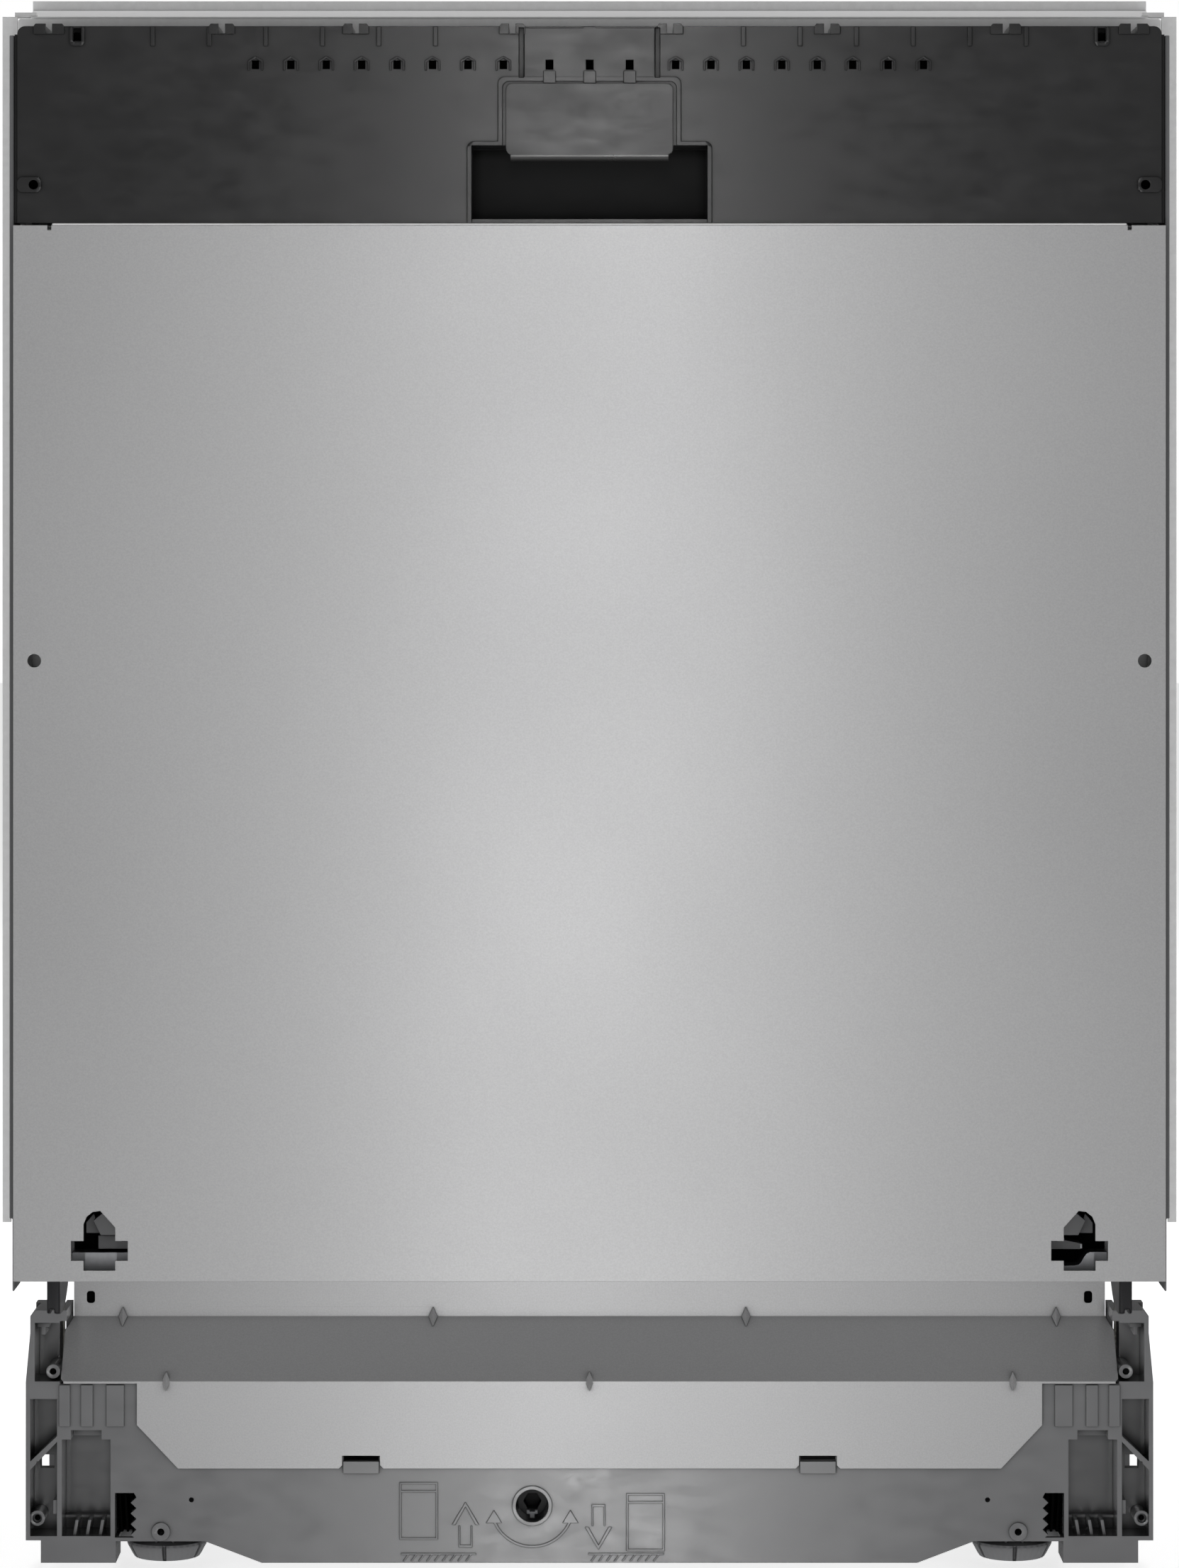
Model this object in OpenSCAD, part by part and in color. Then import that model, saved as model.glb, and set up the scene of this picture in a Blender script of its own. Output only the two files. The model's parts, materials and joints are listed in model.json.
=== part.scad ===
// Fully integrated built-in dishwasher, 60 cm, without its furniture front.
// Origin: centre of the footprint on the floor. +Z up, the door faces -Y. Millimetres.

/* [Cabinet] */
// Overall width over the side trims
cab_w = 598; // [596:1:600]
// Overall height with the feet screwed in
cab_h = 815; // [815:1:820]
// Overall depth from the door panel to the rear wall
cab_d = 550; // [550:1:560]
// Thickness of the steel sheets
sheet = 1; // [0.8:0.1:1.2]
// Inner width of the tub
tub_w = 526; // [520:2:528]

/* [Door] */
// Width over the plastic door strips
door_w = 584; // [580:1:584]
// Height of the hinge axis over the floor
hinge_z = 185; // [183:0.5:187]
// Distance from the door front to the hinge axis
hinge_in = 35; // [34:0.5:36]
// Lower edge of the steel door panel
panel_z0 = 156; // [154:1:158]
// Boundary between the steel panel and the fascia
fascia_z0 = 688; // [680:1:690]
// Upper edge of the fascia
fascia_z1 = 787; // [786:0.5:788]
// Thickness of the door, outer panel to inner liner
door_t = 34; // [33:0.5:35]
// Radius of the door spring cams
cam_r = 50; // [48:0.5:50]

/* [Fascia] */
// Number of vent slots on each side of the middle
vent_count = 8; // [4:1:8]
// Distance between neighbouring vent slots
vent_pitch = 17.8; // [16:0.1:18]
// Distance from the middle to the first vent slot
vent_first = 43.3; // [43:0.1:44]
// Half width of the grip cover
grip_half = 42; // [40:0.5:43]

/* [Base] */
// Width of the plastic base
base_w = 578; // [574:1:579]
// Front plane of the base, behind the door front
base_in = 53; // [52:0.5:54]
// Height of the base walls
base_top = 97; // [95:1:98]
// Distance of the front feet from the middle
foot_x = 219.7; // [219:0.1:221]
// Radius of a foot disc
foot_r = 20.8; // [19:0.1:21]
// How far a foot screws out
foot_travel = 50; // [30:5:50]

/* [Racks] */
// Height of the upper rack floor
upper_z = 480; // [470:5:490]
// Height of the lower rack floor
lower_z = 236; // [236:1:240]
// Radius of the rack wheels
wheel_r = 17; // [15:0.5:17]
// Largest pitch of the rack grids
grid = 36; // [30:1:44]
// Wire thickness of the racks
wire = 3; // [2.5:0.5:4]

/* [Hidden] */
$fn = 48;
e = 0.5;                          // overshoot of a cut past a face

// Main planes
half_w = cab_w / 2;
front = -cab_d / 2;               // front of the door panel
rear = cab_d / 2;
base_y = front + base_in;         // front of the base
hinge_y = front + hinge_in;
liner_y = front + door_t;         // front of the inner liner sheet
bulge_y = liner_y + 16;           // tub side of the liner's raised panel
frame_y = front + 36;             // front of the tub frame
tub_half = tub_w / 2;
tub_roof = cab_h - 39;
tub_z0 = hinge_z + 5;             // lower edge of the tub walls
tub_back_y = rear - 30;
rail_z = 200;                     // running height of the lower rack wheels
skin_y = front + 1;               // front of the fascia skin
door_half = door_w / 2;
panel_half = door_half - 2.4;
base_half = base_w / 2;
kick_y = -193.5;                  // middle of the kick sheet's upper part

// Door spring drive
cord_x = 272.6;
cord_r = 0.8;
cord_in = 1.2;                    // middle of the cord below the rims of cam and pulley
groove_in = 2.2;                  // bottom of the grooves below the rims
cord_y = hinge_y + cam_r - cord_in;
pulley_r = 14;
pulley_y = cord_y + pulley_r - cord_in;
pulley_z = 60;
cord_z = pulley_z - pulley_r + cord_in; // height of the horizontal cord run
slider_y = -60;
spring_y1 = 190;

// Wash equipment
hub = [0, 10];                    // centre of both spray arms
filter_at = [62, -34];
salt_at = [-165, 70];
adjuster = [-29.4, 33.3];         // x and z of the rear foot adjuster
foot_y = -182;
foot_top = foot_travel + 22;      // upper end of the foot stems
rear_foot_y = 215;
gearbox_y = 185;
tine_y = [-60, 80];
tine_z = lower_z + 6;
wheel_y = [-150, 160];
shelf_z = upper_z + 95;
button_x = [-90, 0, 90];
rinse_at = [62, 466];             // x and z of the rinse-aid cap

// Helpers ------------------------------------------------------------------------------------------
module box(x0, x1, y0, y1, z0, z1) {
    translate([x0, y0, z0]) cube([x1 - x0, y1 - y0, z1 - z0]);
}
// A front view outline (x, z) made solid from y0 to y1
module xz(y0, y1) {
    translate([0, y1, 0]) rotate([90, 0, 0]) linear_extrude(y1 - y0) children();
}
// A side view outline (y, z) made solid from x0 to x1
module yz(x0, x1) {
    translate([x0, 0, 0]) rotate([90, 0, 90]) linear_extrude(x1 - x0) children();
}
module both() {
    children();
    mirror([1, 0, 0]) children();
}
module cyl_x(x0, x1, y, z, r) {
    translate([x0, y, z]) rotate([0, 90, 0]) cylinder(r = r, h = x1 - x0);
}
module cyl_y(x, z, y0, y1, r) {
    translate([x, y1, z]) rotate([90, 0, 0]) cylinder(r = r, h = y1 - y0);
}
module cyl_z(x, y, z0, z1, r) {
    translate([x, y, z0]) cylinder(r = r, h = z1 - z0);
}
// Rounded rectangle between two corners
module rrect(x0, x1, y0, y1, r) {
    translate([x0 + r, y0]) square([x1 - x0 - 2 * r, y1 - y0]);
    translate([x0, y0 + r]) square([x1 - x0, y1 - y0 - 2 * r]);
    for (x = [x0 + r, x1 - r], y = [y0 + r, y1 - r]) translate([x, y]) circle(r);
}
// Flat grid of square wires between two corners, with fields of at most the pitch
module grid2d(x0, x1, y0, y1, pitch, w) {
    nx = ceil((x1 - x0) / pitch);
    ny = ceil((y1 - y0) / pitch);
    px = (x1 - x0 - w) / nx;
    py = (y1 - y0 - w) / ny;
    difference() {
        translate([x0, y0]) square([x1 - x0, y1 - y0]);
        for (i = [0:nx - 1], j = [0:ny - 1])
            translate([x0 + w + i * px, y0 + w + j * py]) square([px - w, py - w]);
    }
}

// Base ---------------------------------------------------------------------------------------------
pan_half = base_half - 3;
pan_y0 = base_y + 27;
pan_y1 = rear - 20;
module base_pan() {
    color([0.2, 0.2, 0.21]) difference() {
        union() {
            difference() {
                box(-pan_half, pan_half, pan_y0, pan_y1, 12, base_top);
                box(-pan_half + 3, pan_half - 3, pan_y0 - e, pan_y1 - 3, 15, base_top + e);
            }
            // floor ribs
            for (y = [-120:60:180]) box(-pan_half + 2, pan_half - 2, y, y + 2, 14, 20);
            for (x = [-150, 150]) box(x - 1, x + 1, pan_y0, pan_y1 - 2, 14, 24);
            // bosses of the front feet
            both() cyl_z(foot_x, foot_y, 12, 62, 9);
            // gearbox of the rear foot
            box(-44, 24, gearbox_y, gearbox_y + 60, 12, 60);
            // pulley cheeks and axles, spring rails and spring anchors
            both() {
                box(263, 266, pulley_y - 8, pulley_y + 8, 14, pulley_z + 8);
                cyl_x(265, 284, pulley_y, pulley_z, 3);
                box(262, pan_half - 2, spring_y1, spring_y1 + 6, 14, 60);
                for (x = [263, pan_half - 5]) box(x, x + 2, -145, -35, 14, 36);
            }
            // rear feet runners under the floor
            both() box(150, 175, pan_y1 - 60, pan_y1 - 10, 5, 13);
            // rims of the rear openings
            for (x = [-200, -70]) cyl_y(x, 58, pan_y1 - 6, pan_y1, 24);
        }
        both() {
            cyl_z(foot_x, foot_y, 11, 63, 5.06);
            // side windows behind the front corners
            box(pan_half - 4, pan_half + e, pan_y0 - e, pan_y0 + 60, 25, 54);
        }
        cyl_z(0, rear_foot_y, 11, 61, 6.06);
        cyl_y(adjuster[0], adjuster[1], gearbox_y - e, gearbox_y + 14, 5.06);
        cyl_y(-200, 58, pan_y1 - 7, pan_y1 + e, 18);
        box(-82, -58, pan_y1 - 7, pan_y1 + e, 47, 69);
        cyl_y(200, 62, pan_y1 - 7, pan_y1 + e, 12.5);
        for (x = [-130, 110]) box(x - 20, x + 20, pan_y1 - 4, pan_y1 + e, 70, 90);
    }
}

// Outline of one half of the base front, from the middle to the side
module base_outline() {
    polygon([[-e, 4], [168, 4], [197, 15], [242.8, 15], [242.8, 4], [281.3, 4], [281.3, 15.5],
        [base_half, 15.5], [base_half, 96.6], [286.7, 122], [286.7, 130.5], [283.7, 133.5],
        [268, 133.5], [268, 100], [262, 95.8], [-e, 95.8]]);
}
module chamfer_rect(x0, x1, z0, z1, c) {
    polygon([[x0 + c, z0], [x1 - c, z0], [x1, z0 + c], [x1, z1 - c], [x1 - c, z1], [x0 + c, z1],
        [x0, z1 - c], [x0, z0 + c]]);
}
module arrow_up(x, z0, z1, w) {
    m = (z0 + z1) / 2;
    polygon([[x - w / 4, z0], [x + w / 4, z0], [x + w / 4, m], [x + w / 2, m], [x, z1],
        [x - w / 2, m], [x - w / 4, m]]);
}
module frame2d(x0, x1, z0, z1, w) {
    difference() {
        translate([x0, z0]) square([x1 - x0, z1 - z0]);
        translate([x0 + w, z0 + w]) square([x1 - x0 - 2 * w, z1 - z0 - 2 * w]);
    }
}
// Raised outline signs for levelling: two cabinets, arrows up, round and down, floor lines
module base_signs() {
    xz(base_y - 0.4, base_y + e) {
        for (s = [[-97.4, 16, 40.3], [18.9, 10.2, 34.6]]) {
            frame2d(s[0], s[0] + 19.6, s[1], s[2] + 5, 0.9);
            translate([s[0], s[2]]) square([19.6, 0.9]);
        }
        difference() {
            arrow_up(-63.6, 12, 35.2, 13.8);
            arrow_up(-63.6, 13.2, 32.9, 11);
        }
        difference() {
            translate([4.6, 46]) mirror([0, 1]) arrow_up(0, 12, 35.2, 13.8);
            translate([4.6, 46]) mirror([0, 1]) arrow_up(0, 13.2, 32.9, 11);
        }
        translate([adjuster[0], adjuster[1]]) difference() {
            circle(21.5);
            circle(20.4);
            translate([-30, -8]) square([60, 40]);
        }
        for (x = [-49, -9.8]) polygon([[x - 4, 24.5], [x + 4, 24.5], [x, 31]]);
        for (x = [-96.7, -0.5]) {
            translate([x, 8.2]) square([38.5, 0.8]);
            for (i = [0:8]) polygon([[x + 1 + 4 * i, 5], [x + 1.8 + 4 * i, 5], [x + 4.4 + 4 * i, 8.4],
                [x + 3.6 + 4 * i, 8.4]]);
        }
    }
}
module base_corner_cuts() {
    // horn recess, its cord slot and the side pocket
    box(268 + 2.3, 284.4, base_y - e, base_y + 24, base_top, 127);
    box(cord_x - 1.3, cord_x + 1.3, base_y + 20, base_y + 45, base_top - e, 134);
    xz(base_y - e, base_y + 20) polygon([[273, 17.7], [286.8, 17.7], [286.8, 51.5], [273, 66]]);
    xz(base_y - e, base_y + 20) polygon([[273, 69], [286.7, 56], [286.8, 88], [273, 88]]);
    box(276.4, 283.5, base_y - e, base_y + 60, 49, 56);
    // room for the slanted part of the kick sheet
    box(260, 271.5, base_y - e, base_y + 30, 95.8, 128);
    // main pocket with its top notch
    box(245.6, 270.5, base_y - e, base_y + 23, 17.7, 67.2);
    box(250.2, 265.9, base_y - e, base_y + 12, 67, 72);
    // serrated opening beside it
    xz(base_y - e, base_y + 26) polygon([[233.5, 17], [243.3, 17], [243.3, 39.8], [233.5, 39.8],
        for (i = [3:-1:0]) each [[232.3, 37.5 - 5.5 * (3 - i)], [235.2, 34.8 - 5.5 * (3 - i)]]]);
    // clip slots above the tabs
    box(108, 126, base_y - e, base_y + 26, 56.4, 58.9);
    // screw holes and the hollow behind the front skin
    cyl_y(204.1, 36.3, base_y - e, base_y + 8, 1.25);
    box(4, 231, base_y + 3, pan_y0 + e, 18, 88);
}
module base_front() {
    color([0.33, 0.33, 0.35]) difference() {
        union() {
            difference() {
                union() {
                    both() xz(base_y, pan_y0) base_outline();
                    // horn backs reach back round the cords
                    both() box(268, 286.5, pan_y0 - e, cord_y + 5, base_top, 133.5);
                    base_signs();
                }
                both() base_corner_cuts();
                box(-5, 5, base_y + 3, pan_y0 + e, 18, 88);
                both() box(foot_x - 22, foot_x + 22, base_y + 3, pan_y0 + e, -e, 18);
            }
            both() {
                // vertical strips on the corner tower
                for (s = [[266.3, 271.8], [254.6, 260.6], [238.6, 247.6]])
                    box(s[0], s[1], base_y - 0.8, base_y + 2, 74, 95.2);
                // screw bosses in the pockets
                cyl_y(275.2, 101.8, base_y + 2, base_y + 25, 3.6);
                cyl_y(283.3, 26.5, base_y + 2, base_y + 21, 3.9);
                cyl_y(foot_x, 20, base_y - 1, base_y + 20, 4.7);
                // slanted ribs at the bottom of the main pocket
                for (x = [250.3, 257, 263.5]) xz(base_y + 3, base_y + 23.5)
                    polygon([[x + 0.1, 17], [x - 1.3, 25.4], [x + 0.3, 25.4], [x + 1.7, 17]]);
                box(245, 271, base_y + 17, base_y + 23.5, 24, 25.4);
                // clip tab in the horn, ledge under it and a block in the side pocket
                box(277.6, 283.6, base_y + 6, base_y + 24.5, 124, 126);
                box(279.6, 281.6, base_y + 6, base_y + 24.5, 120, 124.5);
                box(272.5, 275, base_y + 1, base_y + 21, 29, 36);
                // tabs that hold the kick sheet
                box(107.9, 126.2, base_y - 1.5, base_y + 1, 50, 56.2);
            }
            // rings of the adjuster opening
            cyl_y(adjuster[0], adjuster[1], base_y - 0.8, base_y + 2, 10.2);
        }
        both() {
            cyl_y(275.2, 101.8, base_y - 1, base_y + 20, 1.7);
            cyl_y(283.3, 26.5, base_y - 1, base_y + 18, 1.5);
            cyl_y(283.3, 26.5, base_y - 1, base_y + 4, 2.4);
            cyl_y(foot_x, 20, base_y - 2, base_y + 16, 1.8);
        }
        cyl_y(adjuster[0], adjuster[1], base_y - 2, base_y + 4, 8.4);
    }
}

// Kick sheet: one bent sheet, upright behind the door, slanted, upright on the base front
kick_top = 184;
kick_bend_z = 126.2;
kick_low_z = 97.2;
kick_low_y = base_y - 0.2;
module diamond(x, z, w, h) {
    translate([x, z]) polygon([[-w / 2, 0], [0, -h / 2], [w / 2, 0], [0, h / 2]]);
}
// Sharp ridge across a bend of the sheet, a pointed diamond seen from the front
module gusset(x, y, z) {
    intersection() {
        translate([x, y, z]) rotate([-22.5, 0, 0]) rotate([0, 0, 45]) cube([3.2, 3.2, 11], center = true);
        xz(y - 6, y + 6) diamond(x, z, 4.4, 9.6);
    }
}
module kick_sheet() {
    color([0.62, 0.63, 0.65]) difference() {
        union() {
            box(-267, 267, kick_y - sheet / 2, kick_y + sheet / 2, kick_bend_z - 0.5, kick_top);
            both() box(266, 267, kick_y - sheet / 2, kick_y + 12, kick_bend_z + 2, kick_top);
            intersection() {
                yz(-271, 271) polygon([[kick_y - 0.5, kick_bend_z], [kick_low_y - sheet, kick_low_z],
                    [kick_low_y - sheet, kick_low_z - 1.2], [kick_low_y, kick_low_z - 1],
                    [kick_y + 0.5, kick_bend_z - 0.4]]);
                xz(base_y - 5, kick_y + 5) polygon([[-264.6, 130], [-271, 119.5], [-271, 98.4],
                    [-269.6, 97], [-269.6, 90], [269.6, 90], [269.6, 97], [271, 98.4], [271, 119.5],
                    [264.6, 130]]);
            }
            xz(kick_low_y - sheet, kick_low_y) polygon([[-232, kick_low_z], [-232, 74.8],
                [-210.9, 52.5], [-128.5, 52.5], [-126.7, 54.3], [-126.7, 59.1], [-107.4, 59.1],
                [-107.4, 54.3], [-105.6, 52.5], [105.6, 52.5], [107.4, 54.3], [107.4, 59.1],
                [126.7, 59.1], [126.7, 54.3], [128.5, 52.5], [210.9, 52.5], [232, 74.8],
                [232, kick_low_z]]);
            // pressed gussets in both bends
            for (x = [-241.6, -81, 81, 241.6]) gusset(x, kick_y - 1.6, kick_bend_z);
            for (x = [-217, 0, 217]) gusset(x, kick_low_y - 0.2, kick_low_z);
        }
        for (x = [-258.3, 258.3]) xz(kick_y - 2, kick_y + 2) rrect(x - 2.1, x + 2.1, 133, 139.2, 1.5);
    }
}

// Tub and cabinet shell ----------------------------------------------------------------------------
module tub_wrap() {
    color([0.78, 0.79, 0.8]) difference() {
        xz(frame_y + 2.1, tub_back_y) difference() {
            rrect(-tub_half - sheet, tub_half + sheet, tub_z0 - 60, tub_roof + sheet, 25);
            rrect(-tub_half, tub_half, tub_z0 - 80, tub_roof, 24);
        }
        box(-half_w, half_w, front, rear, 0, tub_z0);
    }
}
module tub_back() {
    color([0.78, 0.79, 0.8]) {
        xz(tub_back_y, tub_back_y + sheet) difference() {
            rrect(-tub_half - sheet, tub_half + sheet, tub_z0 - 60, tub_roof + sheet, 25);
            translate([-half_w, 0]) square([cab_w, tub_z0]);
        }
        // stiffening ribs
        for (x = [-170, -85, 85, 170]) box(x - 6, x + 6, tub_back_y + sheet, tub_back_y + 4, 260, 700);
    }
}
floor_z = hinge_z + 2;            // upper face of the tub floor
module tub_floor() {
    color([0.72, 0.73, 0.74]) difference() {
        union() {
            box(-tub_half + 0.2, tub_half - 0.2, frame_y + 3.2, tub_back_y, floor_z - 1.5, floor_z);
            both() {
                // running rails of the lower rack
                box(238, 256, frame_y + 6, tub_back_y - 8, floor_z - 1, rail_z);
                box(256, 258, frame_y + 6, tub_back_y - 8, floor_z - 1, rail_z + 5);
            }
            // legs that stand on the base
            for (x = [-254, 254], y = [-183, 150]) box(x - 6, x + 6, y, y + 25, 15, floor_z - 1);
        }
        translate([0, 0, floor_z - 4]) linear_extrude(6) rrect(-58, 148, -118, 62, 20);
        cyl_z(salt_at[0], salt_at[1], floor_z - 4, floor_z + 1, 38.3);
        // shallow tracks of the wheels
        both() box(239.5, 250.5, frame_y + 5, tub_back_y - 7, rail_z - 1, rail_z + e);
    }
}
module tub_frame() {
    color([0.78, 0.79, 0.8]) difference() {
        union() {
            xz(frame_y, frame_y + 2) difference() {
                rrect(-half_w + 8, half_w - 8, tub_z0 - 30, cab_h - 21, 1.5);
                rrect(-tub_half + 1, tub_half - 1, tub_z0 + 10, tub_roof - 1, 23);
            }
            // folded upper edge and the threshold
            box(-half_w + 12, half_w - 12, frame_y + 1, frame_y + 16, cab_h - 22, cab_h - 21);
            box(-tub_half + 0.2, tub_half - 0.2, frame_y, frame_y + 3.2, hinge_z + 1.5, rail_z);
        }
        box(-half_w, half_w, front, rear, 0, hinge_z + 1.5);
        both() {
            box(266.5, 280, front, rear, 0, hinge_z + 56);
            for (z = [330, 560]) cyl_y(279, z, frame_y - 1, frame_y + 3, 2.1);
            // slots of the striker
            box(7.4, 12.6, frame_y - 1, frame_y + 3, 776.4, 781.6);
        }
        for (x = [-180, 180]) cyl_y(x, cab_h - 30, frame_y - 1, frame_y + 3, 2.1);
    }
}
module door_seal() {
    color([0.25, 0.25, 0.26]) xz(frame_y - 0.4, frame_y + 9) difference() {
        rrect(-tub_half + 2, tub_half - 2, tub_z0 + 12, tub_roof - 2, 21);
        rrect(-tub_half + 10, tub_half - 10, tub_z0 - 40, tub_roof - 10, 15);
        translate([-half_w, 0]) square([cab_w, tub_z0 + 14]);
    }
}
module side_trims() {
    color([0.75, 0.76, 0.78]) both() difference() {
        union() {
            box(half_w - 1.2, half_w, frame_y, frame_y + 32, 181, cab_h - 20);
            box(half_w - 8, half_w, frame_y, frame_y + 1.2, 181, cab_h - 20);
            for (z = [260, 420, 580, 740]) box(half_w - 8, half_w - 1, frame_y + 1, frame_y + 14, z, z + 2);
        }
        box(half_w - 9, half_w - 4.5, frame_y - e, frame_y + 3, 180, tub_z0);
        // room for the tub frame behind the lip
        box(half_w - 9, half_w - 7.8, frame_y - e, frame_y + 2.2, 180, cab_h);
    }
}
cover_y = front + 157;            // where the ramp meets the flat top
module top_cover() {
    color([0.8, 0.81, 0.82]) {
        intersection() {
            yz(-half_w + 2.5, half_w - 2.5) polygon([[frame_y, cab_h - 20.9], [frame_y, cab_h - 19.9],
                [cover_y, cab_h - 5], [cover_y + 1, cab_h - 6]]);
            translate([0, 0, cab_h - 25]) linear_extrude(30) polygon([[-284.6, frame_y - e],
                [284.6, frame_y - e], [half_w - 2.5, cover_y], [half_w - 2.5, cover_y + 2],
                [2.5 - half_w, cover_y + 2], [2.5 - half_w, cover_y]]);
        }
        box(-half_w + 2.5, half_w - 2.5, cover_y, cover_y + sheet, cab_h - 6, cab_h);
        box(-half_w + 2.5, half_w - 2.5, cover_y, rear, cab_h - sheet, cab_h);
        both() {
            box(half_w - 3.5, half_w - 2.5, cover_y, rear, cab_h - 25, cab_h);
            // small tabs at the front corners
            box(half_w - 17, half_w - 6, frame_y + 3, frame_y + 9, cab_h - 20, cab_h - 17.5);
        }
        box(-half_w + 2.5, half_w - 2.5, rear - sheet, rear, cab_h - 25, cab_h);
        for (x = [-150, 0, 150]) box(x - 30, x + 30, cover_y + 40, rear - 60, cab_h - 4, cab_h - 0.5);
    }
}
module insulation() {
    color([0.3, 0.3, 0.31]) {
        both() difference() {
            box(tub_half + 4, half_w - 9, -180, tub_back_y, 245, tub_roof - 6);
            for (z = [330:110:700]) box(half_w - 11, half_w - 8, -150, tub_back_y - 30, z, z + 4);
        }
        difference() {
            box(-tub_half, tub_half, tub_back_y + 8, tub_back_y + 24, 210, tub_roof - 6);
            for (x = [-200:100:200]) box(x - 2, x + 2, tub_back_y + 22, tub_back_y + 25, 250, 730);
        }
    }
}

// Wash equipment under and in the tub --------------------------------------------------------------
module sump() {
    color([0.16, 0.16, 0.17]) difference() {
        union() {
            translate([0, 0, floor_z - 12]) linear_extrude(8.8) rrect(-64, 154, -124, 68, 24);
            cyl_z(45, -28, 62, floor_z - 10, 74);
            cyl_x(-70, 45, -28, 96, 18);
        }
        translate([0, 0, floor_z - 9]) linear_extrude(20) rrect(-56, 146, -116, 60, 18);
        cyl_z(45, -28, 66, floor_z, 70);
    }
}
module wash_pump() {
    color([0.22, 0.22, 0.23]) {
        cyl_y(-110, 66, -60, 60, 40);
        cyl_y(-110, 66, 59, 82, 30);
        cyl_x(-112, -70.2, -28, 96, 14);
        box(-148, -72, -50, -30, 18, 40);
        for (i = [0:6]) cyl_y(-110, 66, -29 + 12 * i, -25 + 12 * i, 42);
    }
}
module drain_pump() {
    color([0.24, 0.24, 0.25]) {
        cyl_y(200, 62, 120, 190, 26);
        cyl_y(200, 62, 189, pan_y1 - 5, 15);
        // spigot of the drain hose
        cyl_y(200, 62, pan_y1 - 6, rear, 10);
        cyl_y(200, 62, 110, 121, 20);
        box(185, 215, 130, 172, 20, 40);
    }
}
module water_softener() {
    color([0.7, 0.71, 0.72]) difference() {
        union() {
            box(-240, -90, 100, 178, 92, floor_z - 6);
            cyl_z(salt_at[0], salt_at[1], floor_z - 40, floor_z + 3, 38);
            box(-240, -210, 30, 101, 110, floor_z - 8);
        }
        cyl_z(salt_at[0], salt_at[1], floor_z - 30, floor_z + 4, 30.06);
    }
}
module inlet_valve() {
    color([0.85, 0.85, 0.86]) {
        cyl_y(-200, 58, pan_y1 - 5, rear, 13.2);
        cyl_y(-200, 58, pan_y1 - 20, pan_y1 - 4, 16);
        box(-214, -186, 196, pan_y1 - 19, 40, 76);
        cyl_z(-200, 216, 75, 92, 12);
    }
}
module power_socket() {
    color([0.12, 0.12, 0.13]) difference() {
        union() {
            box(-81.8, -58.2, pan_y1 - 20, pan_y1 + 2, 47.2, 68.8);
            box(-92, -48, pan_y1 - 22, pan_y1 - 7.5, 42, 74);
        }
        box(-79.5, -60.5, pan_y1 - 14, pan_y1 + 3, 49.5, 66.5);
    }
}
module filter_plate() {
    color([0.7, 0.71, 0.72]) difference() {
        translate([0, 0, floor_z + 0.1]) linear_extrude(1.2) rrect(-62, 152, -122, 66, 22);
        cyl_z(hub[0], hub[1], floor_z - 1, floor_z + 3, 16);
        cyl_z(filter_at[0], filter_at[1], floor_z - 1, floor_z + 3, 35.3);
        for (x = [-50:10:10], y = [-110:10:-20]) cyl_z(x, y, floor_z - 1, floor_z + 3, 2.4);
    }
}
module filter_cylinder() {
    color([0.45, 0.46, 0.48]) {
        difference() {
            cyl_z(filter_at[0], filter_at[1], floor_z - 70, floor_z + 5, 35);
            cyl_z(filter_at[0], filter_at[1], floor_z - 67, floor_z + 6, 32);
        }
        // grip cross on the upper rim
        for (a = [0, 90]) translate([filter_at[0], filter_at[1], floor_z - 4]) rotate([0, 0, a])
            translate([-33, -2, 0]) cube([66, 4, 12]);
    }
}
module salt_cap() {
    color([0.9, 0.9, 0.9]) {
        cyl_z(salt_at[0], salt_at[1], floor_z - 14, floor_z + 3.4, 30);
        cyl_z(salt_at[0], salt_at[1], floor_z + 3.3, floor_z + 8, 36);
        translate([salt_at[0] - 30, salt_at[1] - 4, floor_z + 7]) cube([60, 8, 7]);
    }
}
module spray_feed() {
    color([0.5, 0.51, 0.52]) {
        box(-16, 16, 232, tub_back_y - 0.2, floor_z + 1, upper_z - 2);
        box(-10, 10, 229.5, 233, upper_z - 16, upper_z - 4);
        difference() {
            cyl_z(hub[0], hub[1], floor_z - 8, 205, 14);
            cyl_z(hub[0], hub[1], floor_z - 20, 204, 9);
        }
        cyl_z(hub[0], hub[1], 203, 224, 6);
        cyl_z(hub[0], hub[1], 223, 226, 11);
    }
}
// One spray arm: hub with a bore and two tapered wings
module spray_arm(z, bore, len) {
    translate([hub[0], hub[1], z]) difference() {
        union() {
            linear_extrude(11) {
                circle(30);
                polygon([[-len, -14], [-len + 10, -20], [0, -29], [len - 10, -20], [len, -14], [len, 8],
                    [len - 8, 14], [0, 29], [-len + 8, 14], [-len, 8]]);
            }
            cylinder(r = 18, h = 13);
        }
        translate([0, 0, -1]) cylinder(r = bore, h = 20);
        for (i = [0:6], s = [-1, 1]) translate([s * (50 + 24 * i), 4 - i, 9]) cylinder(r = 1.8, h = 4);
    }
}
module lower_spray_arm() {
    color([0.55, 0.56, 0.58]) spray_arm(207.5, 6.08, 212);
}
module upper_spray_arm() {
    color([0.55, 0.56, 0.58]) spray_arm(upper_z - 30, 6.08, 205);
}

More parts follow.
